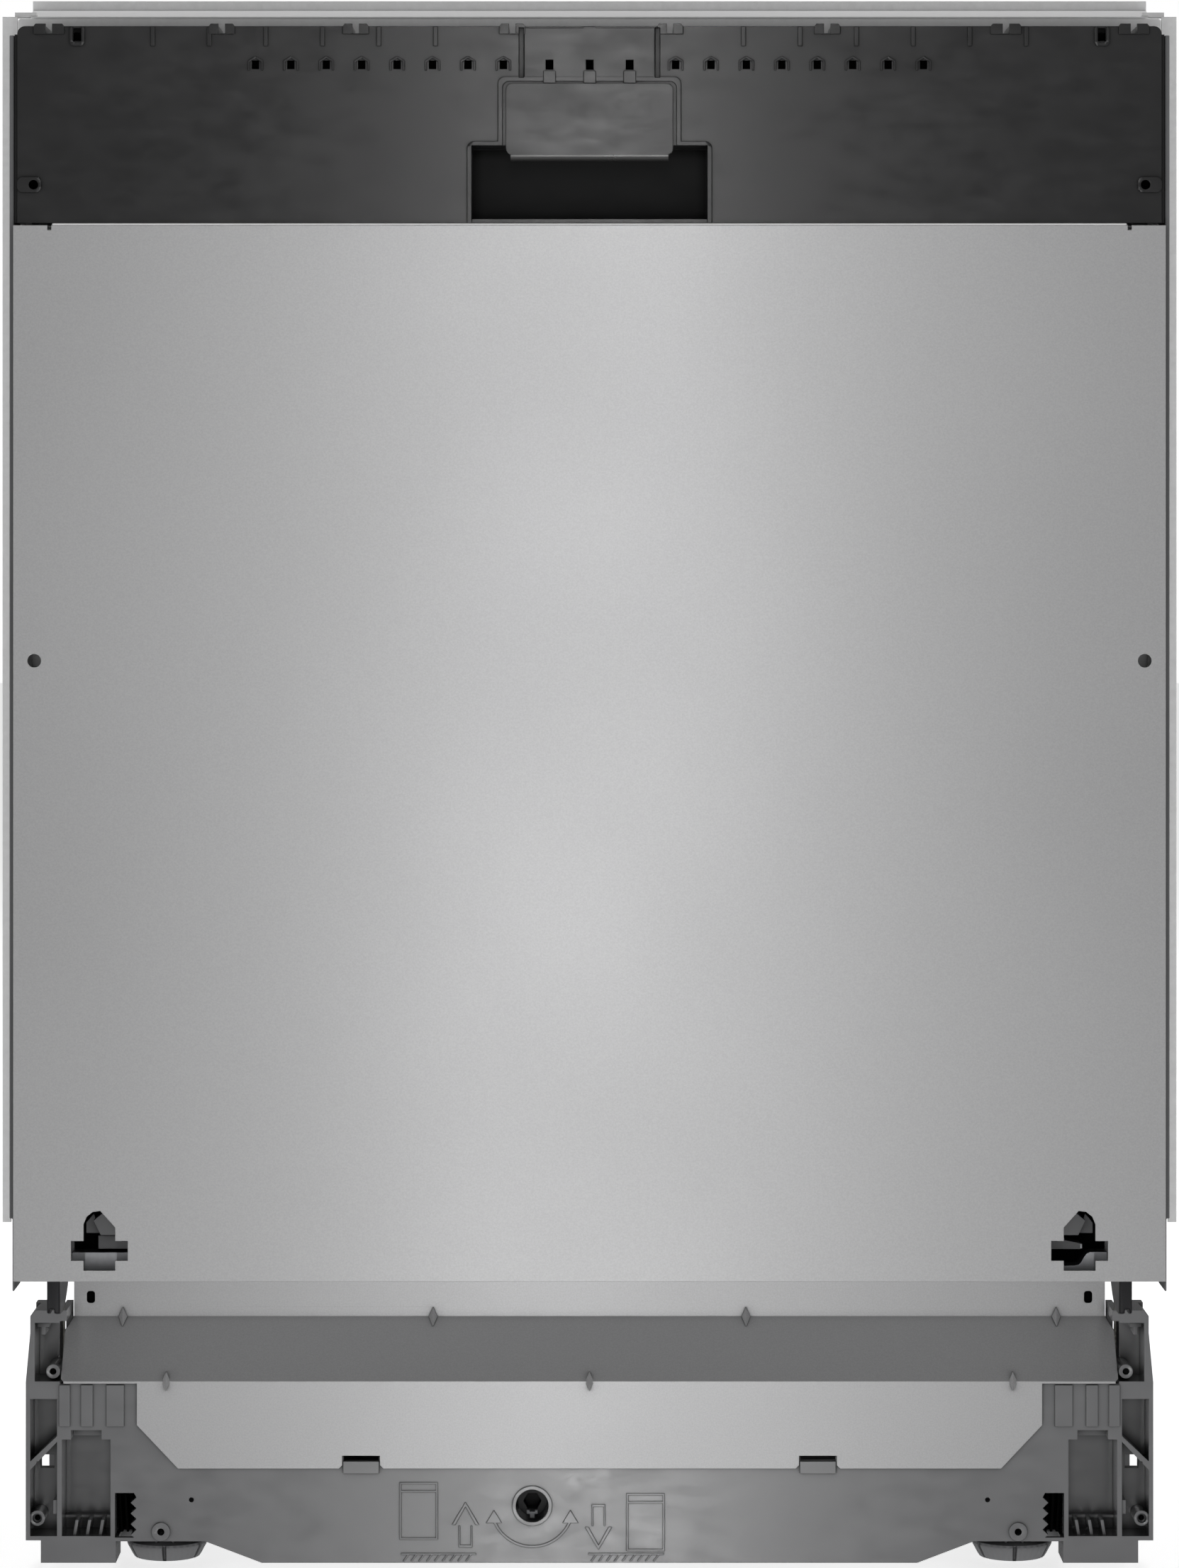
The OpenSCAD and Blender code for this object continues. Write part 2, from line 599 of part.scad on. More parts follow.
// Feet ---------------------------------------------------------------------------------------------
module foot(x, y, stem_r, top) {
    translate([x, y, 0]) {
        rotate_extrude() polygon([[0, 0], [foot_r - 3.8, 0], [foot_r - 0.9, 5.2], [foot_r, 7.4],
            [foot_r - 0.6, 8.8], [foot_r - 3, 9.6], [11, 10.4], [stem_r, 11], [0, 11]]);
        cylinder(r = stem_r, h = top);
    }
}
module foot_front_left() {
    color([0.14, 0.14, 0.15]) foot(-foot_x, foot_y, 5, foot_top);
}
module foot_front_right() {
    color([0.14, 0.14, 0.15]) foot(foot_x, foot_y, 5, foot_top);
}
module foot_rear() {
    color([0.14, 0.14, 0.15]) foot(0, rear_foot_y, 6, foot_top);
}
module adjuster_shaft() {
    color([0.6, 0.6, 0.62]) difference() {
        union() {
            cyl_y(adjuster[0], adjuster[1], base_y + 13, gearbox_y + 12, 5);
            cyl_y(adjuster[0], adjuster[1], base_y + 13, base_y + 27, 7.6);
        }
        // hexagon socket
        translate([adjuster[0], base_y + 23, adjuster[1]]) rotate([90, 0, 0])
            cylinder(r = 4.6, h = 12, $fn = 6);
    }
}

// Door spring drive --------------------------------------------------------------------------------
module hinge_cams() {
    color([0.09, 0.09, 0.1]) both() difference() {
        union() {
            // sector that carries the cord, and the arm up into the door
            intersection() {
                cyl_x(268.5, 275, hinge_y, hinge_z, cam_r);
                box(260, 280, hinge_y - 12, hinge_y + cam_r + 1, hinge_z - cam_r - 1, hinge_z + 8);
            }
            yz(268.5, 275) polygon([[hinge_y - 12, hinge_z - 20], [hinge_y - 26, hinge_z + 10],
                [hinge_y - 26, hinge_z + 90], [hinge_y - 4, hinge_z + 90], [hinge_y - 3, hinge_z + 60],
                [hinge_y + 14, hinge_z + 8], [hinge_y + 10, hinge_z - 20]]);
        }
        cyl_x(267, 282, hinge_y, hinge_z, 5.06);
        // cord groove in the rim
        difference() {
            cyl_x(cord_x - 1.2, cord_x + 1.2, hinge_y, hinge_z, cam_r + 1);
            cyl_x(cord_x - 1.3, cord_x + 1.3, hinge_y, hinge_z, cam_r - groove_in);
            box(260, 280, hinge_y - 80, hinge_y + 80, hinge_z + 4, hinge_z + 80);
            box(260, 280, hinge_y - 80, hinge_y - 13, hinge_z - 80, hinge_z + 80);
        }
    }
}
module hinge_brackets() {
    color([0.6, 0.61, 0.63]) both() {
        yz(276.5, 279.5) polygon([[hinge_y - 9, hinge_z - 6], [hinge_y - 5, hinge_z - 9],
            [hinge_y + 8, hinge_z - 9], [-180, hinge_z + 20], [-180, hinge_z + 75],
            [frame_y + 2, hinge_z + 75], [frame_y + 2, hinge_z + 20], [hinge_y - 9, hinge_z + 6]]);
        cyl_x(268.6, 279.9, hinge_y, hinge_z, 5);
        box(tub_half + 1.2, 277, -182, -180, hinge_z + 12, hinge_z + 75);
    }
}
module spring_cords() {
    color([0.85, 0.85, 0.82]) both() {
        cyl_z(cord_x, cord_y, pulley_z, hinge_z - 4, cord_r);
        // quarter turn under the pulley
        intersection() {
            translate([cord_x, pulley_y, pulley_z]) rotate([0, 90, 0]) rotate_extrude()
                translate([pulley_r - cord_in, 0]) circle(cord_r, $fn = 16);
            box(cord_x - 2, cord_x + 2, pulley_y - pulley_r - 2, pulley_y, pulley_z - pulley_r - 2, pulley_z);
        }
        cyl_y(cord_x, cord_z, pulley_y, slider_y + 20, cord_r);
    }
}
module pulleys() {
    color([0.85, 0.85, 0.83]) both() difference() {
        cyl_x(cord_x - 4, cord_x + 4, pulley_y, pulley_z, pulley_r);
        cyl_x(cord_x - 5, cord_x + 5, pulley_y, pulley_z, 3.06);
        difference() {
            cyl_x(cord_x - 1.2, cord_x + 1.2, pulley_y, pulley_z, pulley_r + 2);
            cyl_x(cord_x - 1.3, cord_x + 1.3, pulley_y, pulley_z, pulley_r - groove_in);
        }
        for (a = [0:60:300]) translate([cord_x - 5, pulley_y + 7.5 * cos(a), pulley_z + 7.5 * sin(a)])
            rotate([0, 90, 0]) cylinder(r = 1.6, h = 10);
    }
}
module spring_sliders() {
    color([0.75, 0.75, 0.73]) both() difference() {
        union() {
            box(cord_x - 6.5, cord_x + 5, slider_y, slider_y + 20, cord_z - 7, cord_z + 8);
            cyl_y(cord_x, cord_z, slider_y - 12, slider_y + 1, 3);
        }
        // passage of the cord
        cyl_y(cord_x, cord_z, slider_y - 13, slider_y + 21, cord_r + 0.4);
    }
}
module door_springs() {
    color([0.6, 0.6, 0.62]) both() difference() {
        cyl_y(cord_x, cord_z, slider_y + 20.3, spring_y1 - 0.3, 6);
        cyl_y(cord_x, cord_z, slider_y + 19, spring_y1 + 1, 4);
    }
}

// Door ---------------------------------------------------------------------------------------------
module t_cut() {
    translate([232, 166.5]) square([28.5, 9.9]);
    polygon([[238.3, 161.5], [254.2, 161.5], [254.2, 184.8], [252.6, 188.6], [249.6, 191],
        [245.8, 191.5], [238.3, 183.2]]);
}
module door_panel() {
    color([0.66, 0.67, 0.69]) difference() {
        union() {
            box(-panel_half, panel_half, front, front + sheet, panel_z0, fascia_z0 - 1.2);
            both() box(panel_half - sheet, panel_half, front, liner_y - 6, panel_z0, fascia_z0 - 1.2);
            // bottom fold and the shelf under the fascia
            box(-262, 262, front, liner_y - 2, panel_z0, panel_z0 + sheet);
            box(-panel_half, panel_half, front, front + 9, fascia_z0 - 2.2, fascia_z0 - 1.2);
            both() box(262, panel_half, front, front + 4, panel_z0, panel_z0 + sheet);
        }
        both() {
            xz(front - e, front + 2) t_cut();
            cyl_y(279, 468, front - e, front + 2, 3.4);
        }
        both() box(270.4, 272.4, front - e, front + 3, fascia_z0 - 3.6, fascia_z0);
    }
}
module door_side_strips() {
    color([0.36, 0.36, 0.38]) both() difference() {
        union() {
            box(panel_half, door_half, front + 5, liner_y - 0.5, 150.4, 782.7);
            box(panel_half - 3, panel_half + 1, liner_y - 5.5, liner_y - 0.5, 245, fascia_z0 - 2);
        }
        box(door_half - 1.5, door_half + 1, front, liner_y, 150, hinge_z + 2);
        for (z = [230, 470, 700]) cyl_x(panel_half - 4, door_half + 1, front + 16, z, 2);
    }
}
module house(x, z, w, h) {
    translate([x, z]) polygon([[-w / 2, -h / 2], [w / 2, -h / 2], [w / 2, h / 2 - w * 0.3], [0, h / 2],
        [-w / 2, h / 2 - w * 0.3]]);
}
// Region of the grip: narrow above, wide below, with rounded shoulders
module grip_region(d) {
    rrect(-46 + d, 46 - d, fascia_z0 + 20, 761.5 - d, 3.5);
    rrect(-61.5 + d, 61.5 - d, fascia_z0 - 10, 729 - d, 3.5);
}
notch_x = [-271.7, -184.8, -117.5, -38.8, 40.5, 119.5, 209.3, 273.6];
rib_x = [77.4, 105.9, 134.2, 162.7, 191.1, 219.5];
module fascia() {
    color([0.24, 0.24, 0.25]) difference() {
        union() {
            difference() {
                xz(skin_y, liner_y - 2) difference() {
                    rrect(-panel_half + 2, panel_half - 2, fascia_z0 - 10, fascia_z1, 4);
                    translate([-half_w, 0]) square([cab_w, fascia_z0]);
                }
                box(-panel_half + 4.4, panel_half - 4.4, skin_y + 2.4, liner_y, fascia_z0 + 2.2,
                    fascia_z1 - 3);
            }
            // step along both sides, behind the front face
            both() box(panel_half - 4, panel_half - 0.3, skin_y + 3, liner_y - 2.5, fascia_z0, 783);
            // pocket for the hand behind the grip
            box(-61.5, 61.5, skin_y + 2, liner_y - 3, fascia_z0, 729);
            box(-46, 46, skin_y + 2, liner_y - 3, 728, 759);
            // raised line round the grip
            xz(skin_y - 0.6, skin_y + 1) difference() {
                grip_region(0);
                grip_region(2.2);
                translate([-half_w, 0]) square([cab_w, fascia_z0]);
            }
            both() {
                // vent slot frames and short ribs at the upper edge
                xz(skin_y - 0.5, skin_y + 1) for (i = [0:vent_count - 1]) difference() {
                    house(vent_first + vent_pitch * i, 768.3, 7.5, 7.1);
                    house(vent_first + vent_pitch * i, 767.2, 5.9, 7.1);
                }
                for (x = rib_x) box(x - 1.05, x + 1.05, skin_y - 0.6, skin_y + 1, 777, fascia_z1 - 0.4);
                // U-shaped bosses and the bosses of the side screws
                xz(skin_y - 0.9, skin_y + 1) difference() {
                    rrect(253.7, 261.3, 777, fascia_z1, 2);
                    rrect(255.2, 259.8, 778.8, fascia_z1 + 6, 1.4);
                    translate([250, fascia_z1 - 0.1]) square([14, 10]);
                }
                xz(skin_y - 0.9, skin_y + 1) rrect(275.5, panel_half - 2, 703.4, 711, 2.6);
            }
            // raised plates beside the notches in the upper edge
            xz(skin_y - 0.7, skin_y + 1.6) for (x = notch_x) let (w = abs(x) > 200 ? 7.7 : 6.5)
                polygon([[x - w, fascia_z1 - 4], [x + w, fascia_z1 - 4], [x + w, fascia_z1 - 0.1],
                    [x + w - 1, fascia_z1 + 1.2], [x - w + 1, fascia_z1 + 1.2], [x - w, fascia_z1 - 0.1]]);
            box(-3, 3, skin_y - 0.5, skin_y + 1, fascia_z1 - 2, fascia_z1 - 0.4);
            // raised middle section with its three strips
            box(-32.7, 32.7, skin_y - 0.5, skin_y + 1, 761.5, fascia_z1 - 1);
            for (x = [-20.1, 0.1, 20.2]) box(x - 3, x + 3, skin_y - 0.9, skin_y + 1, 758.4, 764.4);
        }
        // hand pocket
        box(-59.3, 59.3, skin_y - 2, liner_y - 5, fascia_z0 + 2, 727);
        box(-40, 40, skin_y - 2, liner_y - 5, 726, 756);
        // vent holes
        both() {
            for (i = [0:vent_count - 1]) let (x = vent_first + vent_pitch * i)
                box(x - 1.8, x + 1.8, skin_y - 2, skin_y + 4, 765.4, 769.7);
            // holes in the U-shaped bosses
            box(255.6, 259.4, skin_y - 2, skin_y + 4, 779.5, fascia_z1 - 1);
            cyl_y(279.4, 707.2, skin_y - 2, skin_y + 4, 2.4);
            // grooves beside the middle section
            box(33, 35.5, skin_y - 2, skin_y + 1.2, 761, fascia_z1 - 0.8);
        }
        for (x = notch_x) box(x - 1.65, x + 1.65, skin_y - 2, liner_y, fascia_z1 - 3.7, fascia_z1 + 2);
        for (x = [-20.1, 0.1, 20.2]) box(x - 1.9, x + 1.9, skin_y - 2, skin_y + 3, 765, 770);
        // openings of the push buttons in the upper edge
        for (x = button_x) box(x - 6, x + 6, skin_y + 8, skin_y + 16, fascia_z1 - 5, fascia_z1 + 1);
    }
}
module grip_cover() {
    color([0.3, 0.3, 0.31]) {
        difference() {
            xz(skin_y - 0.9, skin_y + 3) rrect(-grip_half, grip_half, 722.3, 758.1, 3);
            xz(skin_y + 1, skin_y + 4) rrect(-grip_half + 2.6, grip_half - 2.6, 719, 755, 2);
            box(-grip_half - 1, -39.8, skin_y - 0.1, skin_y + 4, 720, 760);
            box(39.8, grip_half + 1, skin_y - 0.1, skin_y + 4, 720, 760);
            box(-grip_half - 1, grip_half + 1, skin_y - 0.1, skin_y + 4, 755.8, 760);
        }
        // rolled lip for the fingers
        difference() {
            cyl_x(-39.8, 39.8, skin_y + 2, 722.2, 2.9);
            cyl_x(-40, 40, skin_y + 2.4, 723, 1.5);
        }
    }
}
module push_button(i) {
    color([0.5, 0.5, 0.52]) {
        x = button_x[i];
        box(x - 5.7, x + 5.7, skin_y + 8.3, skin_y + 15.7, fascia_z1 - 6, fascia_z1 + 0.4);
        box(x - 7.5, x + 7.5, skin_y + 6.5, skin_y + 17.5, fascia_z1 - 6, fascia_z1 - 4.2);
    }
}
module button_power() {
    push_button(0);
}
module button_program() {
    push_button(1);
}
module button_start() {
    push_button(2);
}
module door_liner() {
    color([0.76, 0.77, 0.78]) difference() {
        union() {
            box(-284, 284, liner_y, liner_y + sheet, hinge_z + 57, 780);
            box(-264, 264, liner_y, liner_y + sheet, 158, hinge_z + 58);
            xz(liner_y, bulge_y) rrect(-250, 250, 205, 765, 30);
        }
        xz(liner_y - e, bulge_y - sheet) rrect(-249, 249, 206, 764, 29);
        box(-96, 81, bulge_y - 3, bulge_y + 3, 399, 531);
        // slot for the striker of the latch
        box(-17, 17, liner_y - 1, liner_y + 2, 773, 785);
    }
}
module dispenser() {
    color([0.55, 0.56, 0.58]) difference() {
        union() {
            box(-95.5, 80.5, front + 12, bulge_y + 0.5, 399.5, 530.5);
            box(-102, 87, bulge_y + 0.1, bulge_y + 1.2, 393, 537);
        }
        box(-85, -25, front + 24, bulge_y + 3, 425, 505);
        cyl_y(rinse_at[0], rinse_at[1], bulge_y - 12, bulge_y + 3, 14.06);
        // guide grooves of the lid
        box(-90, 47, bulge_y - 1.2, bulge_y + 3, 418.5, 421);
        box(-90, 47, bulge_y - 1.2, bulge_y + 3, 509, 511.5);
    }
}
module dispenser_lid() {
    color([0.8, 0.81, 0.82]) {
        box(-89, -22, bulge_y + 1.6, bulge_y + 4, 418.9, 511.1);
        box(-89, -22, bulge_y - 0.8, bulge_y + 2, 418.9, 420.6);
        box(-89, -22, bulge_y - 0.8, bulge_y + 2, 509.4, 511.1);
        box(-38, -30, bulge_y + 3, bulge_y + 7, 440, 490);
    }
}
module rinse_aid_cap() {
    color([0.35, 0.42, 0.55]) {
        cyl_y(rinse_at[0], rinse_at[1], bulge_y - 11, bulge_y + 1.6, 14);
        cyl_y(rinse_at[0], rinse_at[1], bulge_y + 1.5, bulge_y + 4, 17);
        translate([rinse_at[0] - 14, bulge_y + 3.5, rinse_at[1] - 2.5]) cube([28, 5, 5]);
    }
}
module door_latch() {
    color([0.18, 0.18, 0.19]) difference() {
        box(-32, 32, front + 14, liner_y - 0.3, 762, 779.5);
        box(-17, 17, front + 20, liner_y + 1, 773.5, 784);
        cyl_y(-26, 768, front + 13, liner_y, 1.6);
        cyl_y(26, 768, front + 13, liner_y, 1.6);
    }
}
module latch_striker() {
    color([0.7, 0.71, 0.72]) {
        box(-20, 20, frame_y + 2, frame_y + 4, 777.3, 792);
        both() box(8, 12, frame_y - 13, frame_y + 3, 777.3, 781);
        box(-12, 12, frame_y - 13, frame_y - 9, 777.3, 781);
    }
}
module control_board() {
    color([0.1, 0.32, 0.18]) {
        box(-150, -66, front + 14, front + 16, 700, 752);
        for (i = [0:3]) box(-142 + 19 * i, -130 + 19 * i, front + 16, front + 20 + 2 * i, 712, 722);
        box(-146, -70, front + 15.5, front + 22, 738, 748);
    }
}

// Racks --------------------------------------------------------------------------------------------
upper_half = 239;
upper_y = [-205, 222];
upper_top = upper_z + 82;
lower_half = 234;
lower_y = [-203, 214];
lower_top = lower_z + 92;
module upper_rack_floor() {
    color([0.7, 0.71, 0.73]) {
        translate([0, 0, upper_z - wire]) linear_extrude(wire)
            grid2d(-upper_half + 4, upper_half - 4, upper_y[0] + 4, upper_y[1] - 4, grid, wire);
        // feed pipe of the upper spray arm and its bearing
        box(-11, 11, hub[1], upper_y[1] - 8, upper_z - 14, upper_z - wire + 0.5);
        box(-11, 11, upper_y[1] - 9, upper_y[1] + 6, upper_z - 14, upper_z - wire - 0.1);
        cyl_z(hub[0], hub[1], upper_z - 16, upper_z - wire + 0.5, 16);
        cyl_z(hub[0], hub[1], upper_z - 33, upper_z - 15, 6);
        cyl_z(hub[0], hub[1], upper_z - 36, upper_z - 32, 11);
    }
}
module upper_rack_walls() {
    color([0.7, 0.71, 0.73]) {
        both() {
            yz(upper_half - wire, upper_half)
                grid2d(upper_y[0] + 4, upper_y[1] - 4, upper_z - wire, upper_top, 1.2 * grid, wire);
            // pins that carry the cup shelf
            for (y = [-120, 120]) {
                box(upper_half - wire, upper_half, y - 4, y + 4, upper_top - 1, shelf_z + 5);
                cyl_y(231, shelf_z, y - 10, y - 4, 3);
                box(229, upper_half, y - 4, y - 1, shelf_z - 3.2, shelf_z + 3.2);
            }
            box(upper_half - 1, 243, -190, 200, upper_z + 26, upper_z + 34);
        }
        for (y = [upper_y[0], upper_y[1] - wire])
            xz(y, y + wire) grid2d(-upper_half, upper_half, upper_z - wire, upper_top, 1.2 * grid, wire);
    }
}
module cup_shelf(s) {
    mirror([s < 0 ? 1 : 0, 0, 0]) color([0.75, 0.76, 0.78]) difference() {
        union() {
            translate([0, 0, shelf_z - 1.5]) linear_extrude(wire)
                grid2d(132, 226, -128, 108, grid, 4);
            for (y = [-131, 109]) {
                cyl_y(231, shelf_z, y, y + 6.6, 5.4);
                box(220, 228, y, y + 6.6, shelf_z - 3, shelf_z + 3);
            }
        }
        for (y = [-131, 109]) cyl_y(231, shelf_z, y - 1, y + 8, 3.06);
    }
}
module cup_shelf_left() {
    cup_shelf(-1);
}
module cup_shelf_right() {
    cup_shelf(1);
}
rail_mid = upper_z + 30;
module fixed_rails() {
    color([0.62, 0.63, 0.65]) both() difference() {
        union() {
            box(256.5, 258.5, -222, 232, rail_mid - 12, rail_mid + 12);
            for (z = [rail_mid - 12, rail_mid + 10]) box(250, 257, -222, 232, z, z + 2);
            for (y = [-180, 0, 180]) box(258, tub_half - 0.2, y - 12, y + 12, rail_mid - 6, rail_mid + 6);
        }
        for (y = [-180, 0, 180]) cyl_x(255, 264, y, rail_mid, 2.1);
    }
}
module rail_slides() {
    color([0.7, 0.71, 0.73]) both() {
        box(249, 252.5, -218, 222, rail_mid - 9, rail_mid + 9);
        for (z = [rail_mid - 9, rail_mid + 7]) box(244, 250, -218, 222, z, z + 2);
    }
}
module lower_rack_floor() {
    color([0.7, 0.71, 0.73]) difference() {
        union() {
            translate([0, 0, lower_z]) linear_extrude(wire)
                grid2d(-lower_half + 4, lower_half - 4, lower_y[0] + 4, lower_y[1] - 4, grid, wire);
            // clips that hold the folding tine rows
            for (y = tine_y, x = [-214, 78]) box(x - 3, x + 3, y - 4, y + 4, lower_z + 1, tine_z + 4);
        }
        for (y = tine_y) cyl_x(-220, 84, y, tine_z, 2.06);
    }
}
module lower_rack_walls() {
    color([0.7, 0.71, 0.73]) {
        both() {
            yz(lower_half - wire, lower_half)
                grid2d(lower_y[0] + 4, lower_y[1] - 4, lower_z, lower_top, 1.3 * grid, wire);
            for (y = wheel_y) {
                box(lower_half - wire, lower_half + 2, y - 7, y + 7, rail_z + wheel_r - 7, lower_z + 14);
                cyl_x(lower_half, 252.5, y, rail_z + wheel_r - 1, 4);
            }
        }
        for (y = [lower_y[0], lower_y[1] - wire])
            xz(y, y + wire) grid2d(-lower_half, lower_half, lower_z, lower_top, 1.3 * grid, wire);
    }
}
module tine_row(y) {
    color([0.7, 0.71, 0.73]) {
        cyl_x(-218, 82, y, tine_z, 2);
        for (x = [-200:22:64]) cyl_z(x, y, tine_z, tine_z + 84, 1.8);
    }
}
module tines_front() {
    tine_row(tine_y[0]);
}
module tines_rear() {
    tine_row(tine_y[1]);
}
module wheel_pair(y) {
    color([0.62, 0.63, 0.65]) both() difference() {
        cyl_x(240.5, 249.5, y, rail_z + wheel_r - 1, wheel_r - 0.3);
        cyl_x(240, 250, y, rail_z + wheel_r - 1, 4.06);
        for (a = [30:60:330])
            translate([240, y + 10 * cos(a), rail_z + wheel_r - 1 + 10 * sin(a)]) rotate([0, 90, 0])
                cylinder(r = 2.6, h = 12);
    }
}
module front_wheels() {
    wheel_pair(wheel_y[0]);
}
module rear_wheels() {
    wheel_pair(wheel_y[1]);
}
module cutlery_basket() {
    color([0.45, 0.46, 0.48]) difference() {
        box(100, 214, -180, 60, lower_z + 4, lower_z + 94);
        box(102, 156, -178, 58, lower_z + 6, lower_z + 95);
        box(158, 212, -178, 58, lower_z + 6, lower_z + 95);
        for (y = [-170:15:40], z = [16:26:68]) box(99, 215, y, y + 9, lower_z + z, lower_z + z + 20);
        for (x = [104:13.6:204], y = [-172:20:40]) box(x, x + 9, y, y + 14, lower_z, lower_z + 8);
    }
}

base_pan();
base_front();
kick_sheet();
tub_wrap();
tub_back();
tub_floor();
tub_frame();
door_seal();
side_trims();
top_cover();
insulation();
sump();
wash_pump();
drain_pump();
water_softener();
inlet_valve();
power_socket();
filter_plate();
hinge_brackets();
fixed_rails();
latch_striker();
spray_feed();
spring_cords();
salt_cap();
filter_cylinder();
foot_front_left();
foot_front_right();
foot_rear();
adjuster_shaft();
lower_spray_arm();
pulleys();
spring_sliders();
door_springs();
door_panel();
door_side_strips();
fascia();
grip_cover();
door_liner();
door_latch();
control_board();
dispenser();
dispenser_lid();
rinse_aid_cap();
hinge_cams();
button_power();
button_program();
button_start();
upper_rack_floor();
upper_rack_walls();
rail_slides();
upper_spray_arm();
cup_shelf_left();
cup_shelf_right();
lower_rack_floor();
lower_rack_walls();
tines_front();
tines_rear();
front_wheels();
rear_wheels();
cutlery_basket();
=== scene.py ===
import json
import math
import random

import bmesh
import bpy
from mathutils import Matrix, Vector


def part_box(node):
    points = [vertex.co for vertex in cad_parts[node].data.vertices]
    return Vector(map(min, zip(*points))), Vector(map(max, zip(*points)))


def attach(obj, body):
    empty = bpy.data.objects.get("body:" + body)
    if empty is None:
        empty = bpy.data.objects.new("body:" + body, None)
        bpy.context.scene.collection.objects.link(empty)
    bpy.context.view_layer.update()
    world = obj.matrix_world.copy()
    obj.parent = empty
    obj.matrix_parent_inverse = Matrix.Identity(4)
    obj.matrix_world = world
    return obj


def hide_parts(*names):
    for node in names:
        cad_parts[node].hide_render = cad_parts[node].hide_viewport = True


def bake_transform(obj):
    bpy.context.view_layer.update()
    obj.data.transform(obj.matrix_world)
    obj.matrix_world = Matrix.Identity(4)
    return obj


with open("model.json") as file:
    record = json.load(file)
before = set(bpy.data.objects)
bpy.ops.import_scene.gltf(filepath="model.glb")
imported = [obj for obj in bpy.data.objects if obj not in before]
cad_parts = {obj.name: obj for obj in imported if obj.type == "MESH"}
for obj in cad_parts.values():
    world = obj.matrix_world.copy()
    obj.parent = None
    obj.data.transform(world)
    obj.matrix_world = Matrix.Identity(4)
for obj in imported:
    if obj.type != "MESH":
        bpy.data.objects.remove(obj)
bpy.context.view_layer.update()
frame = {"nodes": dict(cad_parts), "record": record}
random.seed(7)
MM = 0.001

# ---------------------------------------------------------------- camera, light and stage
CAMERA_AT = (0.0, -2.875, 0.540)
LENS_MM = 118.8
SHIFT_Y = -0.170
FRONT_STRIP_W, FRONT_FILL_W, BACK_FILL_W, OVERHEAD_W = 15.5, 6, 20, 36
WHITE = (1, 1, 1, 1)
SOFT_WORLD = 0.10       # strength of the surroundings in what the object reflects
FLOOR_HALF = 14         # half the floor's side in metres
FLOOR_GLOW = 0.72       # keeps the floor pale right up to the edge of the picture


def add_camera():
    data = bpy.data.cameras.new("camera")
    data.sensor_width = 36
    data.lens = LENS_MM
    data.shift_y = SHIFT_Y
    cam = bpy.data.objects.new("camera", data)
    cam.location = CAMERA_AT
    cam.rotation_euler = (math.radians(90), 0, 0)
    bpy.context.scene.collection.objects.link(cam)
    bpy.context.scene.camera = cam


def area_light(name, at, aim, size, power, seen_in_gloss=True):
    data = bpy.data.lights.new(name, "AREA")
    data.shape = "RECTANGLE"
    data.size, data.size_y = size
    data.energy = power
    lamp = bpy.data.objects.new(name, data)
    lamp.location = at
    lamp.rotation_euler = (Vector(aim) - Vector(at)).to_track_quat("-Z", "Y").to_euler()
    lamp.visible_camera = False
    lamp.visible_glossy = seen_in_gloss
    bpy.context.scene.collection.objects.link(lamp)


def add_lights():
    """A tall narrow strip behind the camera, wide fills at both sides and soft light from above."""
    area_light("front_strip", (0, -4.6, 0.5), (0, 0, 0.5), (0.12, 4.2), FRONT_STRIP_W)
    for side in (-1, 1):
        area_light("front_fill", (side * 2.9, -3.6, 1.3), (0, 0, 0.4), (1.8, 2.6), FRONT_FILL_W, False)
        area_light("back_fill", (side * 2.8, 3.0, 1.8), (0, 0, 0.4), (1.8, 1.8), BACK_FILL_W)
    area_light("overhead", (0, 0.7, 2.9), (0, -0.1, 0), (3.2, 2.6), OVERHEAD_W)


def add_world():
    """White behind the object, a dark soft grey in what it reflects and is lit by."""
    world = bpy.data.worlds.new("studio")
    world.use_nodes = True
    nodes, links = world.node_tree.nodes, world.node_tree.links
    nodes.clear()
    out = nodes.new("ShaderNodeOutputWorld")
    mix = nodes.new("ShaderNodeMixShader")
    path = nodes.new("ShaderNodeLightPath")
    seen = nodes.new("ShaderNodeBackground")
    soft = nodes.new("ShaderNodeBackground")
    seen.inputs["Color"].default_value = WHITE
    seen.inputs["Strength"].default_value = 1.0
    soft.inputs["Color"].default_value = WHITE
    soft.inputs["Strength"].default_value = SOFT_WORLD
    links.new(path.outputs["Is Camera Ray"], mix.inputs["Fac"])
    links.new(soft.outputs[0], mix.inputs[1])
    links.new(seen.outputs[0], mix.inputs[2])
    links.new(mix.outputs[0], out.inputs["Surface"])
    bpy.context.scene.world = world


def add_floor():
    mesh = bpy.data.meshes.new("floor")
    h = FLOOR_HALF
    mesh.from_pydata([(-h, -h, 0), (h, -h, 0), (h, h, 0), (-h, h, 0)], [], [(0, 1, 2, 3)])
    floor = bpy.data.objects.new("floor", mesh)
    bpy.context.scene.collection.objects.link(floor)
    mat = bpy.data.materials.new("floor_white")
    mat.use_nodes = True
    b = mat.node_tree.nodes["Principled BSDF"]
    b.inputs["Base Color"].default_value = (0.93, 0.93, 0.93, 1)
    b.inputs["Roughness"].default_value = 0.8
    b.inputs["Emission Color"].default_value = WHITE
    b.inputs["Emission Strength"].default_value = FLOOR_GLOW
    mesh.materials.append(mat)
    floor.visible_glossy = False
    floor.visible_shadow = False


# ---------------------------------------------------------------- materials
EDGE_ROUNDING = 0.0005  # radius that the shader gives to edges, in metres
PAINTED_SHADE_REACH = 0.006    # how near a surface has to be for the painted shade to darken a hollow's colour and gloss, in metres
